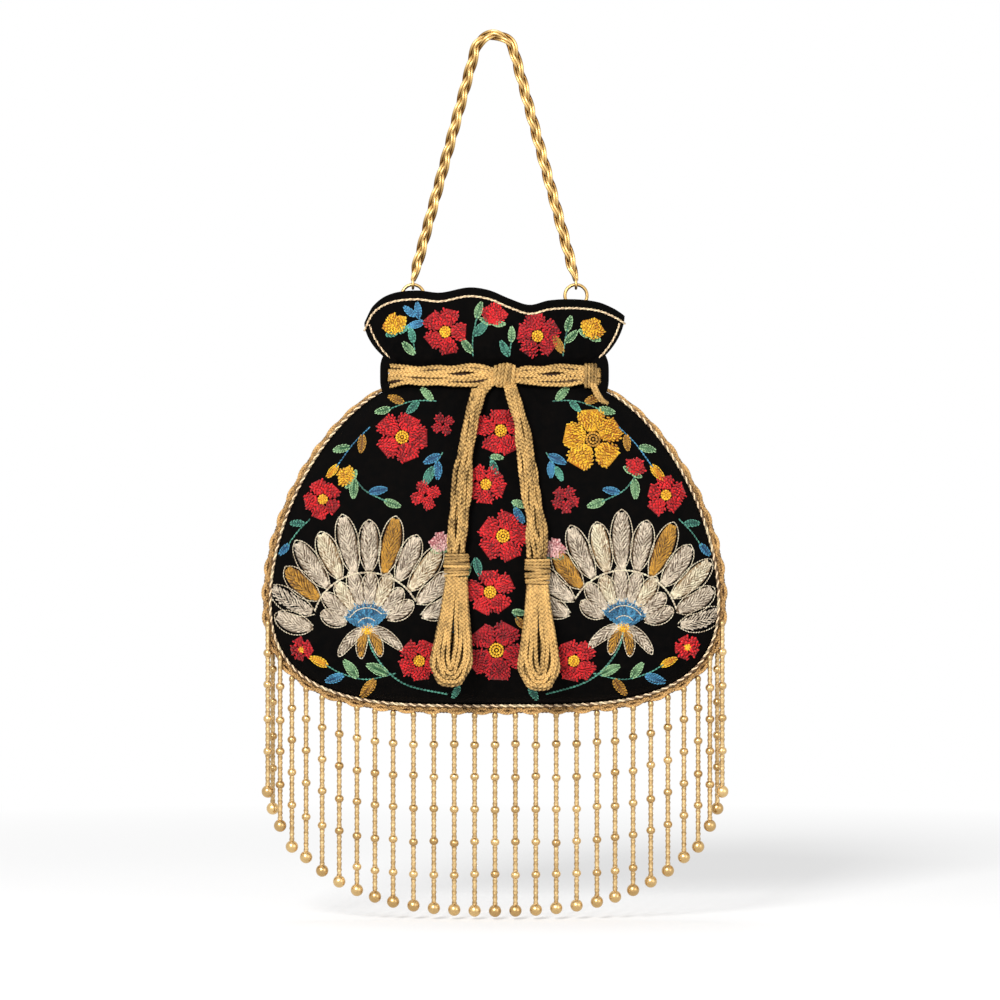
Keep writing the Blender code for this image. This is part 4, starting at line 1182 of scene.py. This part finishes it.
def embroider_frill(cloth):
    flower(cloth, -23.0, -137.5, 10.5, "red", 70.0)
    flower(cloth, 20.0, -139.5, 10.5, "crimson", 100.0)
    for values in FRILL_BUDS:
        bud(cloth, *values)
    for values in FRILL_SPRAYS:
        spray(cloth, *values)


# Seam trim


OUTLINE_STEP = 0.0010
OUTLINE_POINTS = 200
LOOP_COLUMNS = 120
SIDE_PIPING_POINTS = 12
SIDE_PIPING_THETA = 0.84
SCALLOP_LENGTH = 0.0118
BRAID_TAPER_LENGTH = 0.075


def seam_outline():
    """The side and bottom seam from under the neck on the left, round, to the right."""
    points = []
    half = OUTLINE_POINTS
    for k in range(half):
        z = NECK_LOW_Z + (WIDEST_Z - NECK_LOW_Z) * (k / half) ** 1.6
        points.append((belly_outline(z, 0.0), 0.0, z))
    for k in range(half + 1):
        angle = math.pi / 2.0 * k / half
        x = BELLY_HALF_WIDTH * math.cos(angle) ** (2.0 / OUTLINE_SIDE)
        points.append((x, 0.0, bottom_level(x, 0.0)))
    right = np.array(points)
    left = right * np.array([-1.0, 1.0, 1.0])
    return np.vstack([left, right[::-1][1:]])


def below_band(path, node):
    """The part of a seam line that the node covers, from its upper end down."""
    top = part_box(node)[1].z
    return path[path[:, 2] < top]


def outline_at(distance):
    """The seam line moved outward by a distance."""
    path = resample(seam_outline(), OUTLINE_STEP)
    tangent, _, _ = path_frames(path)
    outward = np.stack([tangent[:, 2], np.zeros(len(path)), -tangent[:, 0]], axis=1)
    return path + outward * distance


def make_braid():
    """Gold gimp: a cord in long scallops over a dark one, slimmer toward the neck."""
    line = outline_at(0.0)
    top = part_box("seam_braid")[1].z
    full = np.clip((top - line[:, 2]) / BRAID_TAPER_LENGTH, 0.0, 1.0) ** 0.7
    lengths = path_lengths(line)
    scallop = np.pi * (lengths - lengths[-1] / 2.0) / SCALLOP_LENGTH
    arcs = np.abs(np.sin(scallop)) ** 0.7
    others = np.abs(np.cos(scallop)) ** 0.7
    shape = Shape()
    inner = -0.75 * MM - 0.45 * MM * full
    for side in (-1.0, 1.0):
        rope(shape, offset_path(line, inner, side * (0.35 + 0.55 * full) * MM), 1.3 * MM, side,
             sides=4, turn_steps=5, tint=0.15)
    for away in (1.1, 2.1):
        rope(shape, offset_path(line, inner - away * MM * full, 0.0), 1.5 * MM,
             sides=4, turn_steps=5, tint=0.1)
    for index, (swing, reach, raised) in enumerate(
        ((arcs, 2.75, 0.25), (arcs, 2.75, -0.65), (others, 1.6, 0.9), (others, 1.6, -0.9))):
        aside = inner - (0.10 + reach * swing) * MM * (0.18 + 0.82 * full)
        plait(shape, offset_path(line, aside, raised * MM * (0.4 + 0.6 * full)), 1.7 * MM,
              index, 0.60 - 0.38 * (index > 1))
    shape.make("scalloped_braid", GOLD_BRAID, "bag", "gold_braid", ("seam_braid",))


def make_pipings():
    """Twisted cord along the front and the back edge of the braid."""
    for name, side in (("front_piping", -1.0), ("back_piping", 1.0)):
        line = below_band(outline_at(0.45 * MM), name)
        line = line + np.array([0.0, side * (BRAID_THICKNESS / 2.0 + PIPING * 0.35), 0.0])
        shape = Shape()
        rope(shape, line, PIPING * 1.05, side, pitch=2.9, tint=0.58, contrast=0.36)
        shape.make("twisted_" + name, SILVER_PIPING, "bag", "silver_piping", (name,))


def front_loop(point_of, distance):
    """Closed loop round the bag, a little outside its surface."""
    small = 0.01
    front = []
    for k in range(LOOP_COLUMNS + 1):
        theta = -1.0 + 2.0 * k / LOOP_COLUMNS
        point = np.array(point_of(theta))
        if k in (0, LOOP_COLUMNS):
            outward = np.array([math.copysign(1.0, theta), 0.0, 0.0])
        else:
            ahead = np.array(point_of(theta + small)) - np.array(point_of(theta - small))
            outward = unit(np.array([ahead[1], -ahead[0], 0.0]))
        front.append(point + outward * distance)
    front = np.array(front)
    back = front[1:-1][::-1] * np.array([1.0, -1.0, 1.0])
    return np.vstack([front, back])


def make_frill_piping():
    """Twisted cord round the frill, a little under its edge, and down its sides."""
    def point_of(theta):
        edge = frill_edge(theta)
        share = 1.0 - PIPING_EDGE_DROP / (edge - NECK_TOP_Z)
        return frill_point(theta, share, 0.0)

    line = front_loop(point_of, PIPING * 0.36)
    shape = Shape()
    rope(shape, line, PIPING * 0.78, closed=True, pitch=3.4, tint=0.68, reference=ALONG_Z,
         contrast=0.34)
    shape.make("twisted_frill_piping", SILVER_PIPING, "bag", "silver_piping", ("frill_piping",))
    side_piping()


def side_piping():
    """Piping down both sides of the frill, from its edge line to the drawstring."""
    shape = Shape()
    for hand in (-1.0, 1.0):
        for side in (FRONT, BACK):
            points = []
            for k in range(SIDE_PIPING_POINTS):
                share = 0.80 - 0.76 * k / (SIDE_PIPING_POINTS - 1)
                x, y, z = frill_point(hand * SIDE_PIPING_THETA, share, 0.0)
                points.append((x, side * (abs(y) + 0.45 * MM), z))
            rope(shape, smooth_path(points), PIPING * 0.74, hand, pitch=3.4, tint=0.62,
                 contrast=0.36)
    shape.make("frill_side_piping", SILVER_PIPING, "bag", "silver_piping")


# Drawstring


BAND_STEP = 0.0012
BAND_CORE_RADIUS = 1.35 * MM
# Places of the band's plaits and of one leg's: across the skein, and out of its middle
BAND_LAYOUT = [(height, 0.66) for height in (-0.88, -0.44, 0.0, 0.44, 0.88)]
BAND_LAYOUT += [(height, -0.50) for height in (-0.6, 0.0, 0.6)]
LEG_LAYOUT = (
    (-0.78, 0.4), (-0.26, 0.75), (0.26, 0.75), (0.78, 0.4),
    (-0.92, -0.45), (-0.46, -0.85), (0.0, -1.05), (0.46, -0.85), (0.92, -0.45),
)
# Layers of a tassel from the back to the front: number, width share, depth share
TASSEL_LAYERS = ((-1, 0.92, 0.85), (0, 1.0, 0.0), (1, 0.92, -0.80))
TASSEL_NESTS = (1.0, 0.74, 0.47, 0.19)
TASSEL_STEPS = 90
TASSEL_PLAIT_STEP = 0.0011
LEG_STEP = 0.0010
KNOT_TURNS = 6
COLLAR_TURNS = 8
COLLAR_STEPS = 30
SIDE_LOOP_SIDES = 14
SIDE_LOOP_ROWS = 32
END_WRAP_X = 0.0428
END_WRAP_PITCH = 1.5 * MM
END_TAIL = (
    (0.0460, -0.0070, -0.1615), (0.0476, -0.0078, -0.1655),
    (0.0498, -0.0076, -0.1690), (0.0524, -0.0066, -0.1712),
)


def wander(count, size, seed, turns=3.0):
    """Slow sideways wander of one thread in a skein."""
    place = np.linspace(0.0, 1.0, count)
    dice = random.Random(seed)
    total = np.zeros(count)
    for k in range(1, 4):
        total += np.sin(2.0 * np.pi * (turns * k * place + dice.random())) / k
    return size * total / 1.6


def band_line():
    return front_loop(lambda theta: neck_point(theta, NECK_MIDDLE_Z, 0.0), BAND_OFFSET)


def make_band():
    """Skein of plaited cords round the neck, squeezed where the knot binds it."""
    line = resample(band_line(), BAND_STEP, True)
    near = np.exp(-(((line[:, 0] - KNOT_X) / (KNOT_WIDTH * 0.75)) ** 4)) * (line[:, 1] < 0.0)
    squeeze = 1.0 - (1.0 - KNOT_SQUEEZE) * near
    fuller = 1.0 + 0.12 * np.clip(-line[:, 0] / NECK_HALF_WIDTH, 0.0, 1.0)
    count = len(line)
    _, outward, _ = path_frames(line, True, ALONG_Z)
    upward = np.array(ALONG_Z)
    shape = Shape()
    # core tubes in the darkest tint: painted shade where the core shows between the plaits
    for height in (-0.5, 0.0, 0.5):
        core = line + upward * (height * BAND_HEIGHT * 0.5 * squeeze)[:, None]
        shape.tube(core, BAND_CORE_RADIUS * squeeze, 6, True, 0.0)
    for index, (height, depth) in enumerate(BAND_LAYOUT):
        across = (height + wander(count, 0.22, index, 5.0)) * (BAND_HEIGHT / 2.0 - 1.0 * MM)
        away = depth * (BAND_THICKNESS / 2.0 - 0.9 * MM) + wander(count, 0.22 * MM, 40 + index)
        moved = (line + outward * (away * squeeze)[:, None]
                 + upward * (across * squeeze * fuller)[:, None])
        # painted shade: the inner plaits are tinted dark, the outer ones lighter
        tint = random.uniform(0.42, 0.66) if depth > 0.0 else 0.15
        plait(shape, moved, 2.3 * MM, index * 1.3, tint, 2.6, True, ALONG_Z, True)
    shape.make("drawstring_skein", GOLD_THREAD, "bag", "gold_thread", ("neck_band",))


def wrap_turn(half_depth, half_height, centre, count=28, power=0.75):
    """Closed rounded loop in the plane across the skein."""
    turns = circle(count)
    y = np.sign(np.cos(turns)) * np.abs(np.cos(turns)) ** power * half_depth
    z = np.sign(np.sin(turns)) * np.abs(np.sin(turns)) ** power * half_height
    return np.stack([np.zeros(count), y, z], axis=1) + np.asarray(centre)


def make_knot():
    """Wraps of thread round the squeezed skein, with the two legs coming out under them."""
    low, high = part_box("knot_wrap")
    middle_y = (low.y + high.y) / 2.0
    half_depth = (high.y - low.y) / 2.0 - 0.55 * MM
    shape = Shape()
    for k in range(KNOT_TURNS):
        share = k / (KNOT_TURNS - 1) - 0.5
        x = KNOT_X + share * (KNOT_WIDTH - 1.9 * MM)
        grow = 1.0 - 0.20 * (2.0 * share) ** 2
        path = wrap_turn(half_depth * (0.92 + 0.08 * grow), (KNOT_HEIGHT / 2.0 - 0.5 * MM) * grow,
                         (x, middle_y, NECK_MIDDLE_Z))
        path[:, 0] += (path[:, 2] - NECK_MIDDLE_Z) * (0.10 + 0.05 * math.sin(7.0 * k))
        rope(shape, path, 2.0 * MM, 1.0 if k % 2 else -1.0, k * 0.9, True, 1.9, 6, 8,
             random.uniform(0.35, 0.8), ALONG_X)
    front = low.y + 1.2 * MM
    for route, side in ((LEFT_CORD_ROUTE, -1.0), (RIGHT_CORD_ROUTE, 1.0)):
        foot = np.array(route[1])
        for place in (-1.0, -0.33, 0.33, 1.0):
            aside = np.array([place * 2.0 * MM, -0.5 * MM * (1.0 - abs(place)), 0.0])
            start = np.array([KNOT_X + side * 2.2 * MM, front + 1.6 * MM, NECK_MIDDLE_Z - 1.0 * MM])
            bend = np.array([KNOT_X + (foot[0] - KNOT_X) * 0.62, front + 0.6 * MM,
                             NECK_MIDDLE_Z - 4.2 * MM])
            path = smooth_path([start + aside * 0.5, bend + aside, foot + aside])
            plait(shape, path, 2.4 * MM, place, 0.5, 2.5)
    shape.make("knot_threads", GOLD_THREAD, "bag", "gold_thread", ("knot_wrap",))


def make_end_wrap():
    """Small thread wrap at the right end of the skein, with a short loose tail."""
    shape = Shape()
    line = band_line()
    for k in range(4):
        x = END_WRAP_X + END_WRAP_PITCH * k
        nearest = line[np.argmin(np.abs(line[:, 0] - x) + (line[:, 1] > 0.0))]
        path = wrap_turn(BAND_THICKNESS / 2.0 + 0.3 * MM, BAND_HEIGHT / 2.0 + 0.1 * MM,
                         (x, nearest[1], NECK_MIDDLE_Z), 26)
        rope(shape, path, 1.6 * MM, 1.0, k, True, 2.0, 6, 7, 0.35, ALONG_X)
    tail = smooth_path(END_TAIL)
    for place in (-0.8, 0.8):
        plait(shape, tail + np.array([place * MM, 0.0, 0.0]), 1.9 * MM, place, 0.4, 2.5)
    shape.make("end_wrap", GOLD_THREAD, "bag", "gold_thread")


def make_side_loops():
    """Velvet casing at each side seam, drawn over the skein and sewn down above and below it."""
    turns = circle(SIDE_LOOP_SIDES)
    across = np.sign(np.cos(turns)) * np.abs(np.cos(turns)) ** 0.6
    deep = np.sign(np.sin(turns)) * np.abs(np.sin(turns)) ** 0.6
    for name in ("side_loop_left", "side_loop_right"):
        low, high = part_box(name)
        side = -1.0 if high.x < 0.0 else 1.0
        inner = min(abs(low.x), abs(high.x)) - 1.7 * MM
        outer = max(abs(low.x), abs(high.x)) + 0.1 * MM
        seam = NECK_HALF_WIDTH - 1.5 * MM
        rings = []
        for k in range(SIDE_LOOP_ROWS + 1):
            share = k / SIDE_LOOP_ROWS
            z = high.z + 1.6 * MM + (low.z - high.z - 3.6 * MM) * share
            off_band = abs(z - NECK_MIDDLE_Z) - BAND_HEIGHT / 2.0 + 1.1 * MM
            near = min(1.0, max(0.0, (0.1 * MM - off_band) / (0.6 * MM)))
            inside = seam + (inner - seam) * near
            outside = outer - 1.7 * MM * (1.0 - math.sin(math.pi * share)) ** 2
            half_depth = high.y * (0.78 + 0.22 * math.sin(math.pi * share))
            ring = np.stack([
                side * ((inside + outside) / 2.0 + across * (outside - inside) / 2.0),
                half_depth * deep, np.full(SIDE_LOOP_SIDES, z)], axis=1)
            rings.append(ring)
        shape = Shape()
        shape.skin(np.array(rings), (rings[0].mean(0), rings[-1].mean(0)))
        shape.make("velvet_" + name, VELVET_LOOK, "bag", "velvet", (name,))


def make_leg(side, route, body):
    """One hanging leg of the skein: flat plaited cords side by side, wider downward."""
    centre = resample(smooth_path(route), LEG_STEP)
    share = np.linspace(0.0, 1.0, len(centre))
    half = (3.2 + 2.2 * share**0.9 - 0.6 * np.clip((share - 0.93) / 0.07, 0.0, 1.0)) * MM
    shape = Shape()
    count = len(centre)
    for index, (across, depth) in enumerate(LEG_LAYOUT):
        seed = index + (50 if side == "right" else 0)
        aside = (across + wander(count, 0.26, 20 + seed, 1.8)) * (half - 1.0 * MM)
        away = depth * 1.35 * MM + wander(count, 0.45 * MM, 70 + seed, 2.2)
        path = centre.copy()
        path[:, 0] += aside
        path[:, 1] += away
        # painted shade: one layer of cords, those with depth below zero, is tinted darker than the
        # other
        tint = random.uniform(0.42, 0.68) if depth > 0.0 else random.uniform(0.12, 0.4)
        plait(shape, path, random.uniform(2.1, 2.5) * MM, index * 1.1, tint)
    leg = shape.make("leg_" + side, GOLD_THREAD, body, "gold_thread", ("drawcord_" + side,))
    return leg, centre


def make_collar(side, body):
    """Thin tilted wraps of thread round the skein."""
    low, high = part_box("cord_wrap_" + side)
    centre = (low + high) / 2.0
    shape = Shape()
    height = high.z - low.z
    half_width = (high.x - low.x) / 2.0 - 0.6 * MM
    half_depth = (high.y - low.y) / 2.0 - 0.5 * MM
    turn = circle(COLLAR_STEPS)
    for k in range(COLLAR_TURNS):
        share = (k + 0.5) / COLLAR_TURNS
        grow = 1.0 - 0.10 * (2.0 * share - 1.0) ** 2 + random.uniform(-0.03, 0.03)
        tilt = random.uniform(-0.6, 0.6) * MM
        path = np.stack([centre.x + half_width * grow * np.cos(turn),
                         centre.y + half_depth * grow * np.sin(turn),
                         high.z - height * share + tilt * np.cos(turn)], axis=1)
        rope(shape, path, 1.55 * MM, 1.0 if k % 2 else -1.0, k, True,
             tint=random.uniform(0.35, 0.9), reference=ALONG_Z)
    core = np.array([(centre.x, centre.y, high.z - height * share) for share in (0.03, 0.5, 0.97)])
    # core of the skein inside the wraps, tinted dark: painted shade between the wraps
    shape.tube(core, 3.6 * MM, 12, False, 0.1)
    return shape.make("collar_" + side, GOLD_THREAD, body, "gold_thread", ("cord_wrap_" + side,))


def make_tassel(side, body, lean):
    """Looped tassel: nested plaited loops in three layers."""
    low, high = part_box("tassel_" + side)
    top_x = (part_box("cord_wrap_" + side)[0].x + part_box("cord_wrap_" + side)[1].x) / 2.0
    middle_y = (low.y + high.y) / 2.0
    length = high.z - low.z
    half_width = (high.x - low.x) / 2.0 - 1.1 * MM
    half_depth = (high.y - low.y) / 2.0 - 1.2 * MM
    shape = Shape()
    index = 0
    count = TASSEL_STEPS
    angle = np.linspace(0.0, np.pi, count)
    drop = np.sin(angle) ** 0.42
    spread = 0.42 + 0.58 * np.clip(drop / 0.80, 0.0, 1.0) ** 1.3
    bulge = 0.62 + 0.38 * np.sin(np.pi * np.clip(drop, 0.0, 1.0) ** 2.0 * 0.75)
    for layer, wide, depth in TASSEL_LAYERS:
        for nest in TASSEL_NESTS:
            reach = (length - 1.3 * MM) * (1.0 - 0.15 * (1.0 - nest)) * (1.0 - 0.03 * abs(layer))
            swell = np.sign(np.cos(angle)) * np.abs(np.cos(angle)) ** 0.62
            x = -swell * half_width * wide * nest * spread
            loose = 1.3 * MM * np.sin(angle) * (1.0 - 0.6 * drop**8)
            x = x + wander(count, 1.0, 200 + index, 2.0) * loose
            y = depth * half_depth * bulge * (1.0 - 0.35 * nest * nest)
            y = y + wander(count, 0.7 * MM, 300 + index, 2.4) * np.sin(angle)
            path = np.stack([top_x + lean * drop + x, middle_y + y, high.z - reach * drop], axis=1)
            # painted shade: the middle and back layers of loops are tinted darker than the front
            # layer
            tint = random.uniform(0.42, 0.68) if layer > 0 else random.uniform(0.08, 0.35)
            plait(shape, resample(path, TASSEL_PLAIT_STEP), random.uniform(2.0, 2.35) * MM,
                  index, tint)
            index += 1
    return shape.make("looped_tassel_" + side, GOLD_THREAD, body, "gold_thread",
                      ("tassel_" + side,))


def make_drawstring():
    """Band, knot and side loops, and the two limp cords, each with its collar and tassel."""
    make_band()
    make_knot()
    make_end_wrap()
    make_side_loops()
    for side, route, lean in (("left", LEFT_CORD_ROUTE, -0.0030),
                              ("right", RIGHT_CORD_ROUTE, 0.0010)):
        body = "cord_" + side
        leg, centre = make_leg(side, route, body)
        collar = make_collar(side, body)
        tassel = make_tassel(side, body, lean)


# Handle and rings


def handle_line():
    """Middle line of the chain, from the left eye over the apex to the right eye."""
    ring_low, ring_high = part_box("ring_right")
    ring_x = (ring_low.x + ring_high.x) / 2.0
    ring_top = ring_high.z - RING_WIRE / 2.0
    apex_z = CHAIN_RADIUS - CHAIN_GROOVE / 4.0
    centre_z = apex_z - APEX_RADIUS
    foot = np.array([ring_x, 0.0, ring_top + EYE_MIDDLE_RADIUS])
    reach = math.hypot(foot[0], foot[2] - centre_z)
    swing = math.acos(APEX_RADIUS / reach)
    tangent_angle = math.atan2(foot[0], foot[2] - centre_z) - swing
    right = []
    for k in range(APEX_STEPS + 1):
        angle = tangent_angle * k / APEX_STEPS
        right.append((APEX_RADIUS * math.sin(angle), 0.0,
                      centre_z + APEX_RADIUS * math.cos(angle)))
    right.append(tuple(foot))
    left = [(-x, y, z) for x, y, z in reversed(right[1:])]
    return np.array(left + right)


def make_chain():
    """Plaited chain: three pairs of smooth wires that pass over and under each other."""
    line = resample(handle_line(), CHAIN_STEP)
    lengths = path_lengths(line)
    ends = np.minimum(lengths, lengths[-1] - lengths)
    full = 0.32 + 0.68 * np.clip(ends / CHAIN_TAPER_LENGTH, 0.0, 1.0)
    plaits = max(1, round(lengths[-1] / (3.0 * CHAIN_LOBE_LENGTH)))
    turn = 2.0 * np.pi * plaits * lengths / lengths[-1]
    shape = Shape()
    for strand in range(3):
        angle = turn + 2.0 * np.pi * strand / 3.0
        aside = CHAIN_SWING_ASIDE * np.sin(angle) * full
        away = CHAIN_SWING_DEPTH * np.sin(2.0 * angle) * full
        # painted shade and highlight: each wire is darker where it passes under the others and
        # lighter where it lies on top
        tone = 0.5 - 0.5 * np.sin(2.0 * angle)
        for place in (-1.0, 1.0):
            pair = place * WIRE_RADIUS * 0.92 * full
            path = offset_path(line, aside + pair, away)
            shape.tube(path, WIRE_RADIUS * (0.8 + 0.2 * full), WIRE_SIDES, False, tone)
    for hand in (0, -1):
        foot = line[hand]
        centre = foot - np.array([0.0, 0.0, EYE_MIDDLE_RADIUS])
        turns = circle(EYE_STEPS)
        tall = np.where(np.sin(turns) > 0.0, 1.7, 1.0)
        eye = np.stack([np.full(EYE_STEPS, centre[0]), EYE_MIDDLE_RADIUS * np.cos(turns),
                        centre[2] + EYE_MIDDLE_RADIUS * tall * np.sin(turns)], axis=1)
        shape.tube(eye, WIRE_RADIUS, WIRE_SIDES, True, 0.7, ALONG_X)
    shape.make("plaited_chain", CHAIN_GOLD, "handle", "gold_metal", ("handle_chain",))


def make_rings():
    """The two round wire rings that join the chain to the bag."""
    for side in ("left", "right"):
        node = "ring_" + side
        low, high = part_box(node)
        centre = (low + high) / 2.0
        radius = (high.z - low.z) / 2.0 - RING_WIRE / 2.0
        turns = circle(RING_STEPS)
        path = np.stack([centre.x + radius * np.cos(turns), np.full(RING_STEPS, centre.y),
                         centre.z + radius * np.sin(turns)], axis=1)
        shape = Shape()
        shape.tube(path, RING_WIRE / 2.0, RING_SIDES, True, 0.7)
        shape.make("wire_" + node, CHAIN_GOLD, node, "gold_metal", (node,))


# Fringe


BEAD_RADIUS = 0.00215
BALL_RADIUS = 0.00295
PURL_RADIUS = 0.00108
FIRST_BEAD = 0.0138
BEAD_PITCH = 0.0153
LAST_BEAD_CLEARANCE = 0.0090
PURL_STEP = 0.48 * MM
CRIMP_LENGTH = 2.6 * MM
CRIMP_DRIFT_LENGTH = 1.7 * MM
PURL_SHADE_LENGTHS = (5.3 * MM, 1.3 * MM)
PURL_SIDES = 6


def make_strand(node):
    """Crimped purl tube with polished beads and a larger ball at its end."""
    low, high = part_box(node)
    x, y = (low.x + high.x) / 2.0, (low.y + high.y) / 2.0
    dice = random.Random(node)
    length = high.z - low.z - BALL_RADIUS
    count = int((length - BALL_RADIUS * 0.6) / PURL_STEP)
    drop = np.arange(count + 1) * PURL_STEP
    turns = circle(PURL_SIDES)
    crimp = 0.11 * np.cos(turns[None, :] * 2.0 - 2.0 * np.pi * drop[:, None] / CRIMP_LENGTH)
    crimp = crimp + 0.05 * np.cos(turns[None, :] + 2.0 * np.pi * drop[:, None] / CRIMP_DRIFT_LENGTH)
    taper = np.clip(0.45 + drop / (1.6 * MM), 0.0, 1.0)[:, None]
    path = np.stack([np.full(count + 1, x), np.full(count + 1, y), high.z - drop], axis=1)
    purl = Shape()
    slow, quick = PURL_SHADE_LENGTHS
    tone = 0.55 + 0.16 * np.sin(2.0 * np.pi * drop / slow + dice.uniform(0.0, 6.0))
    tone = tone + 0.14 * np.sin(2.0 * np.pi * drop / quick)
    purl.tube(path, PURL_RADIUS * (1.0 + crimp) * taper, PURL_SIDES, False, tone)
    purl.ball((x, y, high.z - 0.2 * MM), 1.45 * MM, 8, 5, 0.35, 1.35)
    place_name = node.removeprefix("strand_")
    purl.make("purl_" + place_name, PURL_GOLD, node, "gold_metal", (node,))
    beads = Shape()
    place = FIRST_BEAD
    while place < length - LAST_BEAD_CLEARANCE:
        moved = place + dice.uniform(-0.5, 0.5) * MM
        beads.ball((x, y, high.z - moved), BEAD_RADIUS, 12, 8, dice.uniform(0.4, 1.0), 0.94)
        place += BEAD_PITCH
    beads.ball((x, y, high.z - length), BALL_RADIUS, 16, 11, dice.uniform(0.4, 0.9))
    beads.make("beads_" + place_name, BEAD_GOLD, node, "fringe_beads")


def make_fringe():
    for node in sorted(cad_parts):
        if node.startswith("strand_"):
            make_strand(node)


# Setting: floor, light and camera


def background_rays(tree):
    """A socket that is 1 for the rays that see the ground and backdrop, and 0 for their light."""
    rays = tree.nodes.new("ShaderNodeLightPath")
    seen = rays.outputs["Is Camera Ray"]
    for name in ("Is Glossy Ray", "Is Transmission Ray"):
        either = tree.nodes.new("ShaderNodeMath")
        either.operation = "MAXIMUM"
        tree.links.new(seen, either.inputs[0])
        tree.links.new(rays.outputs[name], either.inputs[1])
        seen = either.outputs[0]
    return seen


def make_stage():
    """White ground under the fringe, which keeps the bag's shadow."""
    floor_z = CAD_BOX[0][2] - FLOOR_DROP
    bpy.ops.mesh.primitive_plane_add(size=FLOOR_SIZE, location=(0.0, 0.0, floor_z))
    floor = bpy.context.object
    floor.name = "floor"
    made = Nodes("floor_white")
    tree = made.tree
    made.set(Roughness=0.95, Specular_IOR_Level=0.0)
    made.shader.inputs["Base Color"].default_value = FLOOR_GREY
    glow = made.add("ShaderNodeEmission", Strength=1.0)
    mix = made.add("ShaderNodeMixShader")
    place = made.add("ShaderNodeTexCoord")
    away = made.add("ShaderNodeVectorMath", operation="LENGTH")
    made.link(place.outputs["Object"], away.inputs[0])
    share = made.span(away.outputs["Value"], *FLOOR_WHITE_SPAN, *FLOOR_WHITE)
    factor = made.add("ShaderNodeMath", operation="MULTIPLY")
    made.link(background_rays(tree), factor.inputs[0])
    made.link(share, factor.inputs[1])
    made.link(factor.outputs[0], mix.inputs[0])
    made.link(made.shader.outputs[0], mix.inputs[1])
    made.link(glow.outputs[0], mix.inputs[2])
    made.link(mix.outputs[0], tree.nodes["Material Output"].inputs["Surface"])
    floor.data.materials.append(made.material)


def make_world():
    """White studio that shows white and lights the bag at a plain level."""
    world = bpy.data.worlds.new("studio")
    world.use_nodes = True
    tree = world.node_tree
    background = tree.nodes["Background"]
    background.inputs["Color"].default_value = (1.0, 1.0, 1.0, 1.0)
    strength = tree.nodes.new("ShaderNodeMapRange")
    strength.inputs["To Min"].default_value = WORLD_STRENGTH
    strength.inputs["To Max"].default_value = 1.0
    tree.links.new(background_rays(tree), strength.inputs["Value"])
    tree.links.new(strength.outputs["Result"], background.inputs["Strength"])
    bpy.context.scene.world = world


def add_lamp(name, place, size, power):
    """Square lamp that shines at the middle of the bag."""
    data = bpy.data.lights.new(name, "AREA")
    data.shape = "SQUARE"
    data.size = size
    data.energy = power
    lamp = bpy.data.objects.new(name, data)
    lamp.location = place
    lamp.rotation_euler = (Vector(LAMP_TARGET) - Vector(place)).to_track_quat("-Z", "Y").to_euler()
    bpy.context.scene.collection.objects.link(lamp)


def make_light():
    for values in LAMPS:
        add_lamp(*values)


def make_camera():
    """The photograph's view: level, from straight in front."""
    data = bpy.data.cameras.new("camera")
    data.sensor_width = SENSOR
    data.lens = SENSOR * VIEW_DISTANCE / VIEW_WIDTH
    camera = bpy.data.objects.new("camera", data)
    camera.location = (VIEW_MIDDLE[0], -VIEW_DISTANCE, VIEW_MIDDLE[1])
    camera.rotation_euler = (math.pi / 2.0, 0.0, 0.0)
    bpy.context.scene.collection.objects.link(camera)
    bpy.context.scene.camera = camera


def dress_nodes():
    """Finish of the frame's own pieces that show as they are."""
    for name in ("ring_tab_left", "ring_tab_right"):
        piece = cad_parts[name]
        piece.data.materials.clear()
        piece.data.materials.append(VELVET_LOOK)


def main():
    random.seed(11)
    make_camera()
    make_drawstring()
    make_panel("velvet_front", FRONT)
    make_panel("velvet_back", BACK)
    make_lining()
    embroider(Cloth(FRONT), "front")
    embroider(Cloth(BACK), "back")
    make_braid()
    make_pipings()
    make_frill_piping()
    make_chain()
    make_rings()
    make_fringe()
    dress_nodes()
    make_stage()
    make_world()
    make_light()
    bpy.context.scene.view_settings.view_transform = "Standard"


main()
